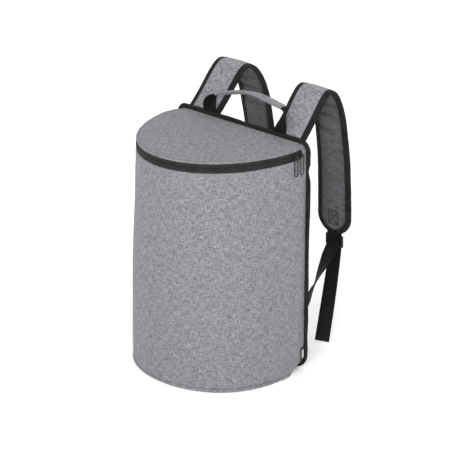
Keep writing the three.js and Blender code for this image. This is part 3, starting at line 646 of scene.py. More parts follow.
def line_tree():
    """Geometry Nodes: one small rounded shape at each step along a line, long side along it."""
    tree = bpy.data.node_groups.new("shapes_along_line", "GeometryNodeTree")
    sockets = (
        ("Geometry", "Geometry"), ("Step", "Float"), ("Size", "Vector"), ("Sides", "Int"),
        ("Seed", "Int"), ("Material", "Material"),
    )
    for name, kind in sockets:
        tree.interface.new_socket(name, in_out="INPUT", socket_type="NodeSocket" + kind)
    tree.interface.new_socket("Geometry", in_out="OUTPUT", socket_type="NodeSocketGeometry")

    def add(kind, settings=None, values=None):
        made = tree.nodes.new(kind)
        for key, value in (settings or {}).items():
            setattr(made, key, value)
        for key, value in (values or {}).items():
            if isinstance(value, bpy.types.NodeSocket):
                tree.links.new(value, made.inputs[key])
            else:
                made.inputs[key].default_value = value
        return made

    given = add("NodeGroupInput").outputs
    curve = add("GeometryNodeMeshToCurve", None, {"Mesh": given["Geometry"]})
    values = {"Curve": curve.outputs["Curve"], "Length": given["Step"]}
    stops = add("GeometryNodeCurveToPoints", {"mode": "LENGTH"}, values)
    out = add("GeometryNodeInputNamedAttribute", {"data_type": "FLOAT_VECTOR"}, {"Name": "out"})
    values = {"Vector": stops.outputs["Tangent"]}
    along = add("FunctionNodeAlignRotationToVector", {"axis": "X"}, values)
    values = {"Rotation": along.outputs["Rotation"], "Vector": out.outputs["Attribute"]}
    facing = add("FunctionNodeAlignRotationToVector", {"axis": "Z", "pivot_axis": "X"}, values)
    values = {"Segments": given["Sides"], "Rings": 4, "Radius": 0.5}
    shape = add("GeometryNodeMeshUVSphere", None, values)
    least, most = 0.88, 1.06  # sizes of the shapes, in the node's sockets 2 and 3 for plain numbers
    values = {2: least, 3: most, "Seed": given["Seed"]}
    uneven = add("FunctionNodeRandomValue", {"data_type": "FLOAT"}, values)
    values = {0: given["Size"], "Scale": uneven.outputs[1]}
    scale = add("ShaderNodeVectorMath", {"operation": "SCALE"}, values)
    values = {
        "Points": stops.outputs["Points"],
        "Instance": shape.outputs["Mesh"],
        "Rotation": facing.outputs["Rotation"],
        "Scale": scale.outputs["Vector"],
    }
    copies = add("GeometryNodeInstanceOnPoints", None, values)
    real = add("GeometryNodeRealizeInstances", None, {"Geometry": copies.outputs["Instances"]})
    smooth = add("GeometryNodeSetShadeSmooth", None, {"Geometry": real.outputs["Geometry"]})
    values = {"Geometry": smooth.outputs["Geometry"], "Material": given["Material"]}
    coloured = add("GeometryNodeSetMaterial", None, values)
    add("NodeGroupOutput", None, {"Geometry": coloured.outputs["Geometry"]})
    return tree


def shapes_along(name, lines, step, size, material, sides=6):
    """Small shapes along lines, each a row of points with the outward direction at each."""
    tree = bpy.data.node_groups.get("shapes_along_line") or line_tree()
    points, edges, outs = [], [], []
    for line, out in lines:
        start = len(points)
        points += [tuple(p) for p in line]
        outs += [tuple(o) for o in out]
        edges += [(start + k, start + k + 1) for k in range(len(line) - 1)]
    mesh = bpy.data.meshes.new(name)
    mesh.from_pydata(points, edges, [])
    facing = mesh.attributes.new("out", "FLOAT_VECTOR", "POINT")
    facing.data.foreach_set("vector", np.array(outs, np.float32).ravel())
    holder = placed(name + "_line", mesh)
    modifier = holder.modifiers.new("shapes", "NODES")
    modifier.node_group = tree
    values = {"Step": step, "Size": size, "Sides": sides, "Seed": 1, "Material": material}
    for item in tree.interface.items_tree:
        if item.in_out == "INPUT" and item.name in values:
            modifier[item.identifier] = values[item.name]
    holder.update_tag()
    made = bpy.data.meshes.new_from_object(seen(holder))
    bpy.data.objects.remove(holder)
    made.name = name
    made.materials.clear()
    return piece(name, made, [material])


def stitches(name, lines, material, step=3.2 * MM, wide=0.62 * MM):
    """Sewn stitches along lines."""
    size = (step * 0.82, wide, wide * 0.7)
    return shapes_along(name, lines, step, size, material)


# The body's plan

def corner_pull(z):
    """How far the side seams turn in where the back panel's corners are round."""
    def pull(over, radius):
        depth = min(max(over, 0), radius)
        return radius - math.sqrt(radius**2 - depth**2)

    by_floor = pull(SEAM_LOW + CORNER_LOW - z, CORNER_LOW)
    return by_floor + pull(z - (SEAM_TOP - CORNER_HIGH), CORNER_HIGH)


class Plan:
    """The body's plan at one height, measured from the left seam round the front to the right."""

    def __init__(self, z):
        self.z = z
        up = min(max(z / ZIP_TOP, 0), 1)
        steps = 480
        share = np.linspace(0, 1, steps + 1)
        angle = np.pi * share**2 * (3 - 2 * share)
        reach = DEPTH * table(PLAN_ROWS, "up", up, "reach")
        self.away = reach * np.sin(angle).clip(0) ** table(PLAN_ROWS, "up", up, "square")
        x = -(HALF + SEAM_TUCK) * np.cos(angle)
        fade = (1 - np.clip((self.away - SEAM_FLAT) / CORNER_BLEND, 0, 1)) ** 2
        self.x = x - np.sign(x) * (SEAM_TUCK + corner_pull(z)) * fade
        self.length = running(np.stack([self.x, self.away], 1))
        self.total = self.length[-1]
        self.nx = -np.gradient(self.away, self.length)
        self.ny = -np.gradient(self.x, self.length)

    def out(self, share):
        """The outward direction at each share."""
        want = np.asarray(share) * self.total
        parts = [np.interp(want, self.length, values) for values in (self.nx, self.ny)]
        n = unit(np.stack(parts, -1))
        return np.concatenate([n, np.zeros(n.shape[:-1] + (1,))], -1)

    def at(self, share, out=0.0):
        """Points at shares of the plan, moved outwards by so much."""
        want = np.asarray(share) * self.total
        x = np.interp(want, self.length, self.x)
        away = np.interp(want, self.length, self.away)
        place = np.stack([x, BACK - GAP - away, np.full_like(x, self.z)], -1)
        return place + self.out(share) * np.asarray(out)[..., None]


@functools.lru_cache(maxsize=None)
def plan(z):
    """The plan at a height, worked out once."""
    return Plan(z)


ZIP_LINE = plan(ZIP_TOP).total
PATCH_START = (ZIP_END - PATCH_SLOPE) / ZIP_LINE
PATCH_STOP = ZIP_END / ZIP_LINE


def body_shares(step):
    """Columns round the body, closer together by the seams."""
    flat = SEAM_FLAT / ZIP_LINE
    near = [0, flat / 2, flat, (flat + PATCH_START) / 2, PATCH_START, PATCH_STOP, PATCH_STOP + flat]
    inner = np.linspace(near[-1], 1 - near[-1], round(ZIP_LINE / step))[1:-1]
    return np.concatenate([near, inner, 1 - np.array(near[::-1])])


def wall_relief(share, z):
    """How far the wall's cloth stands out, at shares (columns) and heights (rows)."""
    up = (z - WALL_FOOT) / (ZIP_LOW - WALL_FOOT)
    edge = np.minimum(share, 1 - share)
    fade = np.clip(edge / PATCH_STOP, 0, 1) ** 2
    swelling = table(SWELL_ROWS, "up", up, "out") * WALL * fade
    below_zip = np.clip(ZIP_LOW - z, 0, None)
    above_foot = z - WALL_FOOT
    beside = edge * ZIP_LINE
    place = np.stack([share * ZIP_LINE, 0 * z, z], -1)
    slow = sum(waver(place * stretch, size, seed) * high for stretch, size, seed, high in SLOW_WAVES)
    gathers = 0
    for (stretch, size, seed, high, reach), away in zip(GATHERS, (below_zip, above_foot, beside)):
        gathers = gathers + waver(place * stretch, size, seed) * high * np.exp(-away / reach)
    hem = 0.45 * MM * np.clip((HEM - below_zip) / (1.2 * MM), 0, 1)
    dip = -0.7 * MM * np.exp(-(((below_zip - HEM) / (1.1 * MM)) ** 2))
    under_zip = -0.8 * MM * np.exp(-below_zip / (0.8 * MM))
    over_foot = -0.9 * MM * np.exp(-above_foot / (1.3 * MM))
    loose = (slow + gathers) * np.clip(beside / (8 * MM), 0, 1)
    return swelling + loose + (hem + dip) * fade + under_zip + over_foot


def wall_heights():
    """Rows up the wall: closer at its foot and under the zip, where the seams are."""
    foot = np.arange(WALL_FOOT, WALL_FOOT + 12 * MM, 1.1 * MM)
    hem_start = ZIP_LOW - 2.2 * HEM
    middle = np.linspace(foot[-1], hem_start, 100)[1:]
    hem = np.linspace(hem_start, ZIP_LOW - 0.3 * MM, 26)[1:]
    return np.concatenate([foot, middle, hem])


def wall_cloth():
    """Front and side wall: one cloth round the D, stepped up past the zip's ends."""
    share = body_shares(3.3 * MM)
    edge = np.minimum(share, 1 - share)
    patch = np.clip((PATCH_STOP - edge) / (PATCH_STOP - PATCH_START), 0, 1)
    heights = wall_heights()
    last = heights[-1]
    extra_rows = 8
    rows = [np.full_like(share, z) for z in heights]
    for t in np.linspace(0, 1, extra_rows + 1)[1:]:
        rows.append(last + (0.3 * MM + patch * (ZIP_TOP - ZIP_LOW)) * t)
    z = np.array(rows)
    shares = np.broadcast_to(share, z.shape)
    relief = wall_relief(shares, z)
    outer = on_plan(shares, z, relief)
    inner_rows = np.linspace(0, len(z) - 1, 12).round().astype(int)[::-1]
    inner = on_plan(shares[inner_rows], z[inner_rows], relief[inner_rows] * 0 - WALL)
    ring = np.concatenate([outer, inner]).transpose(1, 0, 2)
    u = share * ZIP_LINE
    v_ring = np.concatenate([z, 2 * ZIP_TOP - z[inner_rows], z[:1] + 2 * ZIP_TOP]).T
    return woven("wall_cloth", ring, uv_grid(u[:, None], v_ring))


def on_plan(shares, z, out):
    """Points on the body, for grids of shares, heights and how far each stands out."""
    points = np.zeros(z.shape + (3,))
    for height in np.unique(z.round(6)):
        here = np.isclose(z, height, atol=1e-6)
        points[here] = plan(float(height)).at(shares[here], out[here])
    return points


def d_ring(z, share, inset, shrink=0.0, back=0.0):
    """A closed D: the plan moved in by inset, then towards its middle by a share of the way."""
    line = plan(z)
    place = line.at(share)
    n = line.out(share)
    away = BACK - GAP - place[:, 1]
    stretch = (DEPTH - back) / DEPTH
    y = BACK - GAP - back - away * stretch - n[:, 1] * inset * np.minimum(1, away / CORNER_BLEND)
    arc = np.stack([place[:, 0] - n[:, 0] * inset, y, place[:, 2]], -1)
    count = 56
    t = np.linspace(0, 1, count + 1)[1:-1, None]
    ring = np.concatenate([arc, arc[-1] + (arc[0] - arc[-1]) * t])
    middle = np.array([0, BACK - DEPTH * 0.45, z])
    return ring + (middle - ring) * shrink


def lid_cloth():
    """Lid: a crowned cloth with a turned rim over the zip."""
    share = body_shares(3.0 * MM)
    low = ZIP_TOP + GAP - SEAM_TOP
    # Rows of the rim: how far in from the edge in mm, and the height against the seam's top
    rim = [
        (0.7, low), (0.1, low + 0.5 * MM), (-0.25, low + 1.6 * MM), (0.0, -0.9 * MM),
        (0.6, -0.2 * MM), (1.5, 0.1 * MM), (2.4, -0.15 * MM), (3.0, -0.75 * MM),
        (3.6, -0.9 * MM), (4.3, -0.35 * MM), (5.4, 0.1 * MM), (7.0, 0.3 * MM),
    ]
    rings = []
    for shrink in (0.9, 0.5, 0.15):  # the inner side, from near its middle to the rim
        ring = d_ring(SEAM_TOP, share, 0, shrink)
        ring[:, 2] += LID_CROWN * crown(shrink) - LID_SLAB
        rings.append(ring)
    for inset, height in rim:
        ring = d_ring(SEAM_TOP + min(height, 0), share, inset * MM)
        ring[:, 2] = SEAM_TOP + height
        rings.append(ring)
    inner = rim[-1][0] * MM
    for shrink in np.concatenate([np.linspace(0.015, 0.9, 34), [0.95, 0.985]]):
        ring = d_ring(SEAM_TOP, share, inner, shrink)
        ring[:, 2] = SEAM_TOP + 0.3 * MM + (LID_CROWN - 0.5 * MM) * crown(shrink)
        rings.append(ring)
    points = np.array(rings)
    top = slice(3, None)
    shrinks = np.concatenate([np.zeros(len(rim)), np.linspace(0.015, 0.98, 36)])[:, None]
    slow = waver(points[top], 55 * MM, 7) * 0.8 * MM + waver(points[top], 22 * MM, 8) * 0.25 * MM
    pucker = waver(points[top], 8 * MM, 9) * 0.32 * MM * np.exp(-shrinks / 0.05)
    hold = np.clip(shrinks / 0.1, 0.25, 1)
    points[top, :, 2] += np.minimum(slow * hold + pucker, 0.4 * MM)
    count = len(share)
    n = plan(SEAM_TOP).out(share)
    drop = np.clip(SEAM_TOP - points[..., 2], 0, None)
    uv = points[..., :2].copy()
    uv[:, :count] += n[None, :, :2] * drop[:, :count, None]
    uv = np.concatenate([uv, uv[:, :1]], 1)
    return woven("lid_cloth", points, uv)


def crown(shrink):
    """Rise of the lid's top, from 0 at its edge to 1 in its middle."""
    level_from = 0.75
    t = min(shrink / level_from, 1)
    return t * (2 - t)


def base_cloth():
    """Base: a stiff plate in cloth, its lower edge round."""
    share = body_shares(4.0 * MM)
    back = BINDING_THICK / 2
    top = BASE_TOP / MM
    # Rows: height and inset in mm, and the share of the way to the plate's middle
    rows = [
        (0.0, 1.6, 0.985), (0.0, 1.6, 0.0), (0.15, 0.8, 0.0), (0.6, 0.2, 0.0), (1.6, -0.1, 0.0),
        (top - 1.6, -0.3, 0.0), (top - 0.4, 0.1, 0.0), (top, 0.8, 0.0), (top, 0.8, 0.985),
    ]
    rings = [d_ring(z * MM, share, inset * MM, shrink, back) for z, inset, shrink in rows]
    points = np.array(rings)
    side = slice(3, 7)
    bulge = waver(points[side] * (1, 1, 0), 12 * MM, 11)[..., None] * 0.25 * MM
    outward = points[side] * (1, 1, 0)
    points[side] += unit(outward) * bulge
    flat = np.concatenate([points[..., :2], points[:, :1, :2]], 1)
    heights = np.concatenate([points[..., 2], points[:, :1, 2]], 1)[..., None]
    outward = unit(np.concatenate([flat, heights * 0], -1))[..., :2]
    uv = flat + outward * heights
    return woven("base_cloth", points, uv)


# Back seam and panel

def seam_line(step):
    """The back seam, a rounded rectangle: places in X and Z with outward directions."""
    corners = (
        (HALF - CORNER_LOW, SEAM_LOW + CORNER_LOW, CORNER_LOW, -90),
        (HALF - CORNER_HIGH, SEAM_TOP - CORNER_HIGH, CORNER_HIGH, 0),
        (CORNER_HIGH - HALF, SEAM_TOP - CORNER_HIGH, CORNER_HIGH, 90),
        (CORNER_LOW - HALF, SEAM_LOW + CORNER_LOW, CORNER_LOW, 180),
    )
    arcs = []
    for x, z, radius, start in corners:
        angle = np.radians(start + np.linspace(0, 90, 13))
        n = np.stack([np.cos(angle), 0 * angle, np.sin(angle)], -1)
        arcs.append((np.array([x, 0, z]) + n * radius, n))
    places, outs = [], []
    for k, (place, n) in enumerate(arcs):
        after = arcs[(k + 1) % 4][0][0]
        count = max(2, round(np.linalg.norm(after - place[-1]) / step))
        t = np.linspace(0, 1, count + 1)[1:-1, None]
        places += [place, place[-1] + (after - place[-1]) * t]
        outs += [n, np.repeat(n[-1:], count - 1, 0)]
    return np.concatenate(places), np.concatenate(outs)


def binding_frame(step):
    """For each place on the back seam: its width, its shift to the back, and the line itself."""
    place, n = seam_line(step)
    up = (place[:, 2] - SEAM_LOW) / (SEAM_TOP - SEAM_LOW)
    beside = n[:, 0] ** 2
    dent = 1 + (table(DENT_ROWS, "up", up, "out") - 1) * beside
    shift = beside * table(DENT_ROWS, "up", up, "back") * BINDING_THICK
    across = np.where(n[:, 2] > 0, BINDING_TOP, SEAM_LOW)
    width = (BINDING_SIDE * beside + across * (1 - beside)) * dent
    return place, n, width, shift


def seam_binding():
    """Bound seam: folded tape, rounded and slightly puckered, all round the back."""
    place, n, width, shift = binding_frame(2.6 * MM)
    # Rows of the tape's section: out, as a share of its width, and back, of half its thickness
    half_section = [(0.02, -0.8), (0.1, -0.98), (0.3, -0.9), (0.55, -1.0), (0.8, -0.9), (0.94, -0.6),
                    (1.0, -0.2)]
    section = half_section + [(out, -back) for out, back in reversed(half_section)]
    floor = np.where(n[:, 2] < -0.5, 0, 1)
    rough = waver(place, 9 * MM, 21) * 0.7 * MM * floor
    slow = waver(place, 24 * MM, 22) * 1.1 * MM * floor
    thick = 1 + waver(place, 12 * MM, 23) * 0.22
    rings = []
    for out, back in section:
        reach = np.maximum(out * width, GAP) + (rough + slow) * max(0, out - 0.3)
        y = BACK + back * BINDING_THICK / 2 * np.where(abs(back) > 0.3, thick, 1) + shift * out
        rings.append(place + n * reach[:, None] + np.array([0, 1, 0]) * y[:, None])
    points = np.array(rings).transpose(1, 0, 2)
    points[..., 2] = np.maximum(points[..., 2], 0)
    u = running(np.vstack([place, place[:1]]))
    v = np.concatenate([running(points[0]), [running(points[0])[-1] + BINDING_THICK]])
    uv = uv_grid(u[:, None], v[None, :])
    return woven("seam_binding", points, uv, loop_rows=True)


def back_pad():
    """Padded back panel, blown up a little between its seams."""
    rows, cols = 66, 46
    inset = 0.4 * MM

    def crowded(count, share):
        """Steps from -1 to 1 that lie closer together towards both ends."""
        return np.sin(np.linspace(-1, 1, count) * np.pi / 2 * share) / np.sin(np.pi / 2 * share)

    z = (SEAM_LOW + SEAM_TOP) / 2 + crowded(rows, 0.97) * ((SEAM_TOP - SEAM_LOW) / 2 - inset)
    half = np.array([HALF - inset - corner_pull(h) for h in z])
    x = half[:, None] * crowded(cols, 0.9)[None, :]
    zz = np.broadcast_to(z[:, None], x.shape)
    thick = PANEL_REAR - BACK
    round_off = 16 * MM
    side = np.clip((half[:, None] - abs(x)) / round_off, 0, 1)
    ends = np.clip(np.minimum(zz - z[0], z[-1] - zz) / round_off, 0, 1)
    edge = np.sqrt(1 - (1 - side) ** 2) * np.sqrt(1 - (1 - ends) ** 2)
    rear = np.stack([x, BACK + thick * (0.42 + 0.48 * edge), zz], -1)
    front = np.stack([x[:, ::-1], np.full_like(x, BACK + 0.2 * MM), zz], -1)
    points = np.concatenate([rear, front], 1)
    v = np.concatenate([x, 4 * HALF - x[:, ::-1], x[:, :1] + 8 * HALF], 1)
    mesh = woven("back_pad", points, uv_grid(v, z[:, None]))
    free = np.zeros(points.shape[:2])
    free[:, :cols] = np.clip(edge * 1.4 - 0.35, 0, 1)
    swell(mesh, free, 4.0, thick * 0.1)
    return mesh


# Zip

def zip_strip(name, low, high, profile, material, node):
    """A strip of the zip that follows the wall. profile has its face: height share, out."""
    start = (ZIP_END + GAP) / ZIP_LINE
    share = np.linspace(start, 1 - start, 190)  # columns along the zip
    face = [(low + (high - low) * up, out) for up, out in profile]
    behind = min(out for _, out in profile) - 0.9 * MM
    face += [(high, behind), (low, behind)]
    line = plan((low + high) / 2)
    rings = [
        line.at(share, np.full_like(share, out)) * (1, 1, 0) + np.array([0, 0, z]) for z, out in face
    ]
    points = np.array(rings).transpose(1, 0, 2)
    v = np.array([z for z, _ in face] + [high + (high - low)])
    uv = uv_grid(share[:, None] * ZIP_LINE, v[None, :])
    mesh = woven(name, points, uv)
    return piece(name, mesh, [material], node)


def zip_closure(tape, coil, metal):
    """Zip: two tapes, a core and two rows of coil teeth, and its sliders."""
    lower = [(0, -0.9 * MM), (0.08, -0.55 * MM), (0.5, -0.6 * MM), (0.85, -0.35 * MM), (1, -0.6 * MM)]
    upper = [(1 - up, out) for up, out in reversed(lower)]
    core = [(0, -0.8 * MM), (0.2, -0.4 * MM), (0.5, -0.25 * MM), (0.8, -0.4 * MM), (1, -0.8 * MM)]
    strips = (
        ("zip_tape_low", ZIP_LOW + GAP, COIL_LOW - GAP, lower, "webbing", "zip_tape_lower"),
        ("zip_tape_high", COIL_HIGH + GAP, ZIP_TOP, upper, "webbing", "zip_tape_upper"),
        ("zip_core", COIL_LOW, COIL_HIGH, core, "coil_plastic", "zip_coil"),
    )
    for name, low, high, profile, slot, node in strips:
        zip_strip(name, low, high, profile, tape, node)
    pitch = 1.25 * MM
    start = (ZIP_END + 1.2 * MM) / ZIP_LINE
    middle = (COIL_LOW + COIL_HIGH) / 2
    size = (0.8 * MM, 1.5 * MM, 1.0 * MM)
    apart = 0.62 * MM  # from the coil's middle to each row of teeth
    for name, rise, shift in (("low", -apart, 0), ("high", apart, pitch / 2)):
        share = np.linspace(start + shift / ZIP_LINE, 1 - start, 260)
        line = plan(middle).at(share, np.full_like(share, -0.05 * MM))
        line[:, 2] += rise
        lines = [(line, plan(middle).out(share))]
        shapes_along("zip_teeth_" + name, lines, pitch, size, coil, sides=8)
    for row in ("rear", "front"):
        hard_copy("slider_" + row, "zip_slider_" + row, metal, 0.22 * MM)
        hard_copy("pull_" + row, "zip_pull_" + row, metal, 0.3 * MM, "pull_" + row)


def hard_copy(name, node, material, bevel, body="bag"):
    """A hard CAD piece with its edges rounded."""
    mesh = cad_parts[node].data.copy()
    mesh.name = name
    work = bmesh.new()
    work.from_mesh(mesh)
    bmesh.ops.remove_doubles(work, verts=work.verts, dist=0.01 * MM)
    bmesh.ops.dissolve_limit(work, angle_limit=math.radians(1), verts=work.verts, edges=work.edges)
    work.to_mesh(mesh)
    work.free()
    mesh.materials.clear()
    obj = placed(name, mesh)
    rounded = obj.modifiers.new("edges", "BEVEL")
    rounded.width = bevel
    rounded.segments = 2
    rounded.angle_limit = math.radians(35)
    made = bpy.data.meshes.new_from_object(seen(obj))
    bpy.data.objects.remove(obj)
    made.name = name
    made.shade_smooth()
    made.set_sharp_from_angle(angle=math.radians(50))
    return piece(name, made, [material], node, body=body)


# Straps

class StrapPath:
    """A strap's middle line, with its width direction and the side that faces the bag."""

    def __init__(self, side, crest, reach, turn):
        self.side = side
        self.turn = turn
        x = HARNESS_SHIFT + side * STRAP_SPACING / 2
        # Parts: rows, where their out runs from and to, and how high their up is
        parts = (
            (STRAP_FRONT, STRAP_INSET, crest, STRAP_RISE),
            (STRAP_REAR, crest, reach, STRAP_RISE),
            (STRAP_DROP, crest, reach, -STRAP_HANG),
        )
        stops = [
            (x, BACK + (near + (far - near) * out), TRIM_TOP + up * high)
            for rows, near, far, high in parts
            for out, up in rows
        ]
        self.points = spline(stops, 40)
        self.lengths = running(self.points)
        self.length = self.lengths[-1]
        self.slopes = unit(np.gradient(self.points, self.lengths, axis=0))

    def frame(self, s):
        """Middle, direction, width direction and inner side, so far down the strap."""
        s = np.asarray(s, float)
        inside = np.clip(s, 0, self.length)

        def pick(values):
            return np.stack([np.interp(inside, self.lengths, column) for column in values.T], -1)

        along = unit(pick(self.slopes))
        centre = pick(self.points) + along * (s - inside)[..., None]
        turn = np.radians(self.turn) * self.side * np.clip(2 * inside / self.length - 1, 0, 1)
        across = np.stack([np.cos(turn), np.sin(turn) * self.side, 0 * turn], -1)
        across = unit(across - along * np.sum(across * along, -1, keepdims=True))
        return centre, along, across, unit(np.cross(along, across))

    def at(self, s, a, n):
        """Places so far down the strap, across it and out towards the bag."""
        centre, _, across, inner = self.frame(s)
        return centre + across * np.asarray(a)[..., None] + inner * np.asarray(n)[..., None]


def strap_rows(path, step):
    """Rows down a pad: how far down and how wide it is there, round at its lower end."""
    end = path.length - TRIM_WIDTH - GAP - PAD_HALF
    straight = np.linspace(0, end, round(end / step))
    angle = np.radians(np.linspace(0, 84, 18))[1:]
    s = np.concatenate([straight, end + PAD_HALF * np.sin(angle)])
    half = np.concatenate([np.full_like(straight, PAD_HALF), PAD_HALF * np.cos(angle)])
    return s, half, end


def strap_pad(name, path, cloth, lining):
    """Padded strap: cloth outside, lining inside, creased under its crest."""
    s, half, end = strap_rows(path, 3.6 * MM)
    cols = 19
    across = np.linspace(-1, 1, cols)
    thin = 0.55 + 0.45 * np.clip((end + PAD_HALF - s) / PAD_HALF, 0, 1)
    fullness = table(PAD_ROWS, "across", across, "thick")[None, :] * thin[:, None]
    thick = (STRAP_EDGE + (STRAP_PAD - STRAP_EDGE) * fullness) / 2 * 0.94
    a = half[:, None] * across[None, :]
    ss = np.broadcast_to(s[:, None], a.shape)
    heights = path.points[:, 2]
    crest = path.lengths[np.argmax(heights)]
    below = np.where(s > crest, heights.max() - np.interp(s, path.lengths, heights), -1)
    crease = np.zeros_like(a)
    for drop, depth in CREASES:
        lean = drop + 3 * MM * np.sin(across * 2.2 + drop * 90)[None, :]
        weight = 0.55 - 0.45 * across[None, :]
        crease += depth * weight * np.exp(-(((below[:, None] - lean) / (4.2 * MM)) ** 2))
    inner_side = path.at(ss, a, thick - crease)
    outer_side = path.at(ss[:, ::-1], a[:, ::-1], -thick[:, ::-1])
    for side, sign, seed in ((inner_side, 1, 31), (outer_side, -1, 32)):
        bend = waver(side, 30 * MM, seed + path.side) * 0.7 * MM * (1 - abs(across))[None, :]
        side += path.frame(ss)[3] * (sign * bend)[..., None]
    points = np.concatenate([inner_side, outer_side], 1)
    v = np.concatenate([a, 4 * PAD_HALF - a[:, ::-1], a[:, :1] + 8 * PAD_HALF], 1)
    mesh = woven(name, points, uv_grid(v, s[:, None]))
    # Painted shade for the lining, kept in the attribute deep: darker in its creases and in the
    # valleys by its bound edges
    edge_valley_shade = 0.6 * np.clip(abs(across) - 0.6, 0, 1)[None, :]
    deep = np.zeros(points.shape[:2], np.float32)
    deep[:, :cols] = crease / CREASE_DEEPEST * 0.55 + edge_valley_shade
    mesh.attributes.new("deep", "FLOAT", "POINT").data.foreach_set("value", deep.ravel())
    free = np.zeros(points.shape[:2])
    off_foot = np.clip(s / (20 * MM), 0, 1)[:, None]
    open_field = np.clip(1.6 * (1 - abs(across)), 0, 1)[None, :] * off_foot
    free[:, :cols] = open_field
    free[:, cols:] = open_field
    swell(mesh, free, 3.0, 1.0 * MM)
    rows = len(s) - 1
    side_of = np.zeros(len(mesh.polygons), np.int32)
    ring = np.tile(np.arange(2 * cols), rows)
    side_of[: rows * 2 * cols] = np.where(ring < cols - 1, 1, 0)
    mesh.polygons.foreach_set("material_index", side_of)
    return piece(name, mesh, [cloth, lining], "strap_" + name)


def trim_route(path):
    """Round a strap's edge: down one side, round its lower end and up the other."""
    end = path.length - TRIM_WIDTH - GAP - PAD_HALF
    down = np.linspace(0, end, round(end / (3 * MM)))[:-1]
    angle = np.linspace(0, np.pi, 34)
    s = np.concatenate([down, end + PAD_HALF * np.sin(angle), down[::-1]])
    a = np.concatenate([0 * down - PAD_HALF, -PAD_HALF * np.cos(angle), 0 * down + PAD_HALF])
    ds = np.concatenate([0 * down, np.sin(angle), 0 * down])
    da = np.concatenate([0 * down - 1, -np.cos(angle), 0 * down + 1])
    return s, a, ds, da


def strap_trim(name, path, material):
    """Binding round a strap's edge."""
    s, a, ds, da = trim_route(path)
    line = path.at(s, a, 0 * s)
    rough = waver(line, 9 * MM, 41) * 0.4 * MM
    # Rows of the section's front half: out, as a share of its width, and its share of half the
    # thickness. It folds a little way over the pad's two faces.
    half_section = [
        (0.0, 0.6), (-0.42, 1.08), (-0.4, 1.34), (-0.2, 1.24), (0.05, 1.12), (0.35, 1.05),
        (0.7, 0.98), (0.9, 0.75), (1.0, 0.3),
    ]
    section = half_section + [(share, -level) for share, level in reversed(half_section)]
    rings = []
    for share, level in section:
        out = GAP + share * TRIM_WIDTH + rough * abs(share)
        rings.append(path.at(s + ds * out, a + da * out, level * TRIM_THICK / 2 + 0 * s))
    points = np.array(rings).transpose(1, 0, 2)
    v = running(points[0])
    v = np.concatenate([v, [v[-1] + TRIM_THICK]])
    uv = uv_grid(running(line)[:, None], v[None, :])
    mesh = woven(name, points, uv)
    return piece(name, mesh, [material], "strap_" + name)


def trim_stitch_line(path, level):
    """Stitching on a strap's binding, on one of its two faces."""
    s, a, ds, da = trim_route(path)
    out = -1.2 * MM
    line = path.at(s + ds * out, a + da * out, level * TRIM_THICK / 2 * 1.26 + 0 * s)
    inner = path.frame(s)[3]
    return line, inner * level


def laid_on(mesh, line, out, lift):
    """A line moved onto a mesh, along the outward directions, and a little above it."""
    tree = BVHTree.FromPolygons([v.co for v in mesh.vertices], [p.vertices for p in mesh.polygons])
    far = 12 * MM  # more than half a strap's thickness
    laid = []
    for point, way in zip(line, out):
        hit = tree.ray_cast(Vector(point + way * far), Vector(-way), 2 * far)[0]
        laid.append(point if hit is None else np.array(hit) + way * lift)
    return np.array(laid), out


def box_stitch_lines(path, level, pad):
    """A box with a cross, sewn through a strap above its lower end."""
    wide, tall = 20 * MM, 25 * MM
    low = path.length - 19 * MM
    high = low - tall
    half = wide / 2
    corners = {"a": (low, -half), "b": (low, half), "c": (high, half), "d": (high, -half)}
    lines = []
    for start, stop in ("ab", "bc", "cd", "da", "ac", "bd"):
        (s0, a0), (s1, a1) = corners[start], corners[stop]
        t = np.linspace(0, 1, 12)
        s = s0 + (s1 - s0) * t
        a = a0 + (a1 - a0) * t
        lines.append(laid_on(pad, path.at(s, a, 0 * s), path.frame(s)[3] * level, 0.5 * MM))
    return lines


# Webbing

class Ribbon:
    """A flat webbing along stops: each has its place, width direction, layers, how square its width
    lies to the line, and its share of the full width where that isn't 1."""

    def __init__(self, stops, per_span):
        self.centre = spline([s[0] for s in stops], per_span)
        spans = len(stops) - 1
        t = np.linspace(0, spans, spans * per_span + 1)
        stops = [(*s, 1)[:5] for s in stops]

        def pick(k):
            """Item k of every stop, read at each step."""
            values = np.array([np.atleast_1d(s[k]) for s in stops], float)
            return np.stack([np.interp(t, np.arange(spans + 1), column) for column in values.T], -1)

        self.along = unit(np.gradient(self.centre, axis=0))
        across, layers, square, wide = (pick(k) for k in (1, 2, 3, 4))
        dot = np.sum(across * self.along, -1, keepdims=True)
        self.across = unit(across - self.along * dot * square)
        self.out = unit(np.cross(self.along, self.across))
        self.layers = layers[:, 0]
        self.wide = wide[:, 0]
        self.lengths = running(self.centre)
        self.share = t / spans

    def at(self, a, n):
        """Points along the webbing, so far across it and out of it."""
        a, n = np.asarray(a), np.asarray(n)
        return self.centre + self.across * a[..., None] + self.out * n[..., None]


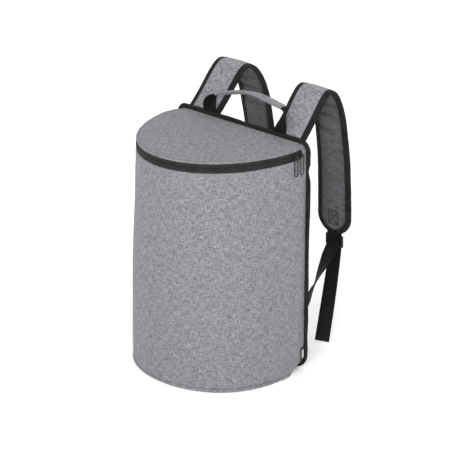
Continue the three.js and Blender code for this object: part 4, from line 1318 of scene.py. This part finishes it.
def webbing_mesh(name, ribbon, width, thick, bow=0.0, folds=0.0, cols=9):
    """Webbing with round edges, its ends closed. Folds run along it where it is drawn together."""
    across = np.linspace(-1, 1, cols)
    face = [(a, 1 - 0.12 * abs(a) ** 6) for a in across]
    ring = face + [(1.02, 0.5), (1.03, 0), (1.02, -0.5)] + [(a, -n) for a, n in face[::-1]]
    ring += [(-1.02, -0.5), (-1.03, 0), (-1.02, 0.5)]
    ripple = waver(ribbon.centre, 30 * MM, 51) * bow
    from_end = np.minimum(ribbon.lengths, ribbon.lengths[-1] - ribbon.lengths)
    drawn = folds * np.sin(np.pi * np.clip(from_end / (34 * MM), 0, 1))
    rings = []
    for a, n in ring:
        out = n * thick * ribbon.layers / 2 + ripple * (1 - a * a) + drawn * math.sin(a * 9.5)
        rings.append(ribbon.at(ribbon.wide * a * width / 2 * 0.985, out))
    points = np.array(rings).transpose(1, 0, 2)
    u = np.array([a for a, _ in face] + [1.1, 1.15, 1.2] + [2.3 - a for a, _ in face[::-1]]
                 + [3.4, 3.45, 3.5, 3.6]) * width / 2
    uv = uv_grid(u[None, :], ribbon.lengths[:, None])
    return woven(name, points, uv)


class Lock:
    """Where a ladder lock hangs under a strap."""

    def __init__(self, path):
        centre, along, across, inner = (v[0] for v in path.frame([path.length]))
        self.middle = centre + along * (TAB_LENGTH + GAP)
        self.up = -along
        self.across = across
        self.inner = inner

    def at(self, a, u, n):
        """A place across the lock, up it and out towards the bag."""
        return self.middle + self.across * a + self.up * u + self.inner * n

    def turn_round(self, u, way, start):
        """Half a turn round a bar, from one face to the other."""
        steps = 6
        angle = np.pi * np.arange(steps + 1) / steps
        places = [self.at(0, u + way * WRAP * math.sin(t), start * WRAP * math.cos(t)) for t in angle]
        return [(place, self.across, 1, 1) for place in places]


def tab_ribbon(lock):
    """Short webbing that holds a lock on its strap."""
    tip = TAB_LENGTH + TRIM_WIDTH
    sewn = (TRIM_THICK + WEB_THICK) / 2 + GAP

    def leg(n, u):
        return lock.at(0, u, n), lock.across, 1, 1

    stops = [leg(sewn, tip), leg(sewn, TAB_LENGTH), *lock.turn_round(LOCK_BAR + TAB_SLOT, -1, 1)]
    return Ribbon([*stops, leg(-sewn, TAB_LENGTH), leg(-sewn, tip)], 5)


def adjuster_ribbon(side, lock):
    """Webbing from the side seam over the lock's bar to its free end."""
    upwards = np.array([0, 0, side])
    below = LOCK_BAR / 2 + LOCK_SLOT + LOCK_LIP
    start = np.array([
        side * (HALF + GAP + BINDING_SIDE * 0.45),
        BACK + BINDING_THICK / 2 + GAP + WEB_THICK,
        ANCHOR_HEIGHT,
    ])
    entry = lock.at(0, -below * 0.45, WRAP + 1 * MM)
    # Rows of the sewn run: way along it, turn towards the lock, sag in mm, and square to its line
    rows = (
        (0, 0, 0, 0), (0.1, 0.08, 0.6, 0.3), (0.22, 0.25, 1.4, 1), (0.4, 0.42, 2, 1),
        (0.6, 0.65, 2, 1), (0.8, 0.88, 1, 1), (1, 1, 0, 1),
    )
    stops = []
    for t, turn, sag, square in rows:
        place = start + (entry - start) * t - np.array([0, 0, sag * MM])
        stops.append((place, unit(upwards + (lock.across - upwards) * turn), 1, square))
    stops += lock.turn_round(0, 1, 1)
    stops.append((lock.at(0, -below * 0.5, -WRAP), lock.across, 1, 1))
    leave = lock.at(0, -below, -WRAP)
    hem = 1 - TAIL_HEM / TAIL_LENGTH
    for t in (0, 0.12, 0.35, 0.6, 0.82, hem - 0.005, hem, 1):
        fall = leave - np.array([0, TAIL_SWING * t**1.15, TAIL_LENGTH * t])
        twist = Matrix.Rotation(math.radians(TAIL_TWIST * t) * side, 3, "Z")
        stops.append((fall, np.array(twist @ Vector(lock.across)), 2 if t >= hem else 1, 1))
    return Ribbon(stops, 8)


def handle_ribbon():
    """The carry handle's webbing, from its left root over to its right one."""
    stops = []
    for across, up, back, turn, tilt, wide, layers in HANDLE_ROWS:
        turn = math.radians(turn)
        tilt = math.radians(tilt)
        place = np.array([
            HARNESS_SHIFT + across * HANDLE_SPAN / 2,
            BACK - BINDING_THICK / 2 + WEB_THICK / 2 + GAP + back * HANDLE_RISE,
            TRIM_TOP + GAP + up * HANDLE_RISE,
        ])
        aside = (math.cos(turn) * math.cos(tilt), -math.sin(turn) * math.cos(tilt), math.sin(tilt))
        stops.append((place, np.array(aside), layers, 1 if up else 0, wide))
    return Ribbon(stops, 12)


def handle_sleeve(ribbon):
    """Cloth sleeve round the handle's middle, open at both ends."""
    keep = (ribbon.share >= SLEEVE_FROM) & (ribbon.share <= SLEEVE_TO)
    centre, across, out = ribbon.centre[keep], ribbon.across[keep], ribbon.out[keep]
    lengths = ribbon.lengths[keep]
    angle = np.linspace(0, 2 * np.pi, 29)[:-1]
    flat = np.sign(np.cos(angle)) * abs(np.cos(angle)) ** 0.55
    high = np.sign(np.sin(angle)) * abs(np.sin(angle)) ** 0.8

    def ring(width, thick, shift=0.0):
        a = flat[None, :] * width / 2
        n = high[None, :] * thick / 2 + shift
        return centre[:, None] + across[:, None] * a[..., None] + out[:, None] * n[..., None]

    from_end = np.minimum(lengths - lengths[0], lengths[-1] - lengths)[:, None]
    tight = 1 - 0.22 * np.exp(-from_end / (2.5 * MM))
    tight -= 0.1 * np.exp(-(((from_end - 6 * MM) / (1.2 * MM)) ** 2))
    outer = ring(SLEEVE_WIDTH, SLEEVE_THICK * tight * 1.05)
    outer += out[:, None] * (waver(outer, 14 * MM, 61) * 0.45 * MM)[..., None]
    inner = ring(HANDLE_WIDTH * FOLD + 2 * GAP, 2 * WEB_THICK + 2 * GAP)
    points = np.concatenate([outer, inner[::-1]])
    u = np.arange(len(angle) + 1) * 2.4 * MM
    v = np.concatenate([lengths, 2 * lengths[-1] - lengths[::-1], [3 * lengths[-1]]])
    uv = uv_grid(u[None, :], v[:, None])
    return woven("handle_sleeve_cloth", points, uv, loop_rows=True)


def side_label():
    """Loop label in the side seam: a folded tape that lies forward on the wall."""
    rows = 12
    reach = np.linspace(0, 1, rows)
    clear = WALL * 0.2 + GAP
    heights = np.linspace(LABEL_LOW, LABEL_HIGH, 9)
    grids = []
    for layer in (1, 0):
        points = np.zeros((rows, len(heights), 3))
        for k, z in enumerate(heights):
            line = plan(z)
            share = 1 - (SEAM_FLAT + reach * LABEL_REACH) / line.total
            fold = np.sqrt(1 - np.clip((reach - 0.82) / 0.18, 0, 1) ** 2)
            level = (layer - 0.5) * fold + 0.5
            edge = 0.35 * MM * abs(k / (len(heights) - 1) - 0.5) * 2
            out = clear + reach**2 * LABEL_THICK + level * (LABEL_THICK + (edge if layer else 0))
            points[:, k] = line.at(share, out)
        grids.append(points)
    points = np.concatenate([grids[0], grids[1][:, ::-1]], 1)
    v = np.linspace(0, 1, len(heights))
    v = np.concatenate([v, v[::-1] + 1, [2]])
    uv = uv_grid(reach[:, None], v[None, :])
    return woven("side_label_tape", points, uv)


def wall_stitch_line(below):
    """Topstitching round the body, so far below the zip."""
    start = (ZIP_END - 4 * MM) / ZIP_LINE
    share = np.linspace(start, 1 - start, 400)
    z = np.full_like(share, ZIP_LOW - below)
    out = wall_relief(share, z) + 0.12 * MM
    line = on_plan(share, z, out)
    return line, plan(ZIP_LOW - below).out(share)


def binding_stitch_line(side):
    """Stitching on one face of the bound seam: side is -1 in front and 1 behind."""
    place, n, width, shift = binding_frame(3 * MM)
    up = place[:, 2] > SEAM_LOW + 3 * MM
    place, n, width, shift = (v[up] for v in (place, n, width, shift))
    start = np.argmin(np.where(place[:, 0] < 0, place[:, 2], 1))
    order = np.roll(np.arange(len(place)), -start)
    place, n, width, shift = (v[order] for v in (place, n, width, shift))
    y = BACK + side * BINDING_THICK / 2 * 0.96 + shift * 0.3
    line = place + n * (width * 0.3)[:, None] + np.array([0, 1, 0]) * y[:, None]
    return line, np.tile([0, float(side), 0], (len(line), 1))


def tail_stitch_lines(ribbon):
    """Rows of stitching across the hem of a webbing's free end."""
    lines = []
    for from_end in (2.5 * MM, 9 * MM):
        k = np.argmin(abs(ribbon.lengths - (ribbon.lengths[-1] - from_end)))
        a = np.linspace(-0.85, 0.85, 10) * WEB_WIDTH / 2
        for side in (-1, 1):
            n = side * (WEB_THICK * ribbon.layers[k] / 2 + 0.05 * MM)
            line = ribbon.centre[k] + ribbon.across[k] * a[:, None] + ribbon.out[k] * n
            lines.append((line, np.tile(ribbon.out[k] * side, (len(a), 1))))
    return lines


def build():
    """Every material and piece."""
    cloth = heather("heather_cloth", grey(0.06, 0.08), grey(0.282, 0.08))
    lid = heather("lid_heather", grey(0.054, 0.08), grey(0.272, 0.08), 1.1)
    strap_cloth = heather("strap_heather", grey(0.056, 0.08), grey(0.33, 0.08), 1.1)
    back_cloth = heather("back_cloth", grey(0.06, 0.07), grey(0.22, 0.07))
    lining = mesh_lining()
    bound = tape_cloth("binding", grey(0.003, 0.1), grey(0.02, 0.1), 1.1 * MM, 0.35 * MM, 0.02)
    web = webbing_cloth()
    tape = zip_tape_cloth()
    coil = moulded("coil_plastic", grey(0.012), 0.35)
    metal = moulded("zip_metal", grey(0.012), 0.42, 0.3, 0.02 * MM)
    plastic = moulded("lock_plastic", grey(0.006), 0.38)
    dark_thread = thread("dark_thread", grey(0.004))
    grey_thread = thread("grey_thread", grey(0.4, 0.05))

    # Rows: piece, the function that makes it, material, slot, CAD node, and the fill of padding
    rows = (
        ("body_wall", wall_cloth, cloth, "heather_cloth", "front_wall", 0.9),
        ("body_base", base_cloth, cloth, "heather_cloth", "base_panel", 0.9),
        ("body_lid", lid_cloth, lid, "heather_cloth", "lid_panel", 0.8),
        ("back_pad", back_pad, back_cloth, "back_cloth", "back_panel", 0.7),
        ("seam_binding", seam_binding, bound, "binding", "back_binding", None),
        ("label", side_label, label_cloth(), "label_cloth", "side_label", None),
    )
    for name, make, material, slot, node, fill in rows:
        piece(name, make(), [material], node)
    zip_closure(tape, coil, metal)
    stitches("zip_stitches", [wall_stitch_line(HEM)], grey_thread, wide=0.85 * MM)
    lines = [binding_stitch_line(-1), binding_stitch_line(1)]
    stitches("binding_stitches", lines, dark_thread)

    for side, row in STRAPS.items():
        path = StrapPath(**row)
        lock = Lock(path)
        pad = strap_pad("pad_" + side, path, strap_cloth, lining).data
        strap_trim("trim_" + side, path, bound)
        lines = [trim_stitch_line(path, 1), trim_stitch_line(path, -1)]
        stitches("strap_stitches_" + side, lines, dark_thread)
        lines = box_stitch_lines(path, 1, pad) + box_stitch_lines(path, -1, pad)
        stitches("box_stitches_" + side, lines, dark_thread, 3.9 * MM, 2.4 * MM)
        mesh = webbing_mesh("tab_" + side, tab_ribbon(lock), WEB_WIDTH, WEB_THICK)
        piece("tab_" + side, mesh, [web], "lock_tab_" + side)
        hard_copy("lock_" + side, "ladder_lock_" + side, plastic, 0.6 * MM)
        ribbon = adjuster_ribbon(row["side"], lock)
        mesh = webbing_mesh("web_" + side, ribbon, WEB_WIDTH, WEB_THICK, 0.5 * MM)
        piece("web_" + side, mesh, [web], "adjuster_" + side)
        stitches("tail_stitches_" + side, tail_stitch_lines(ribbon), dark_thread)

    ribbon = handle_ribbon()
    mesh = webbing_mesh("handle_web", ribbon, HANDLE_WIDTH, WEB_THICK, folds=0.9 * MM, cols=25)
    piece("handle_web", mesh, [web], "handle_webbing")
    piece("handle_cover", handle_sleeve(ribbon), [cloth], "handle_sleeve")


camera()
studio()
build()
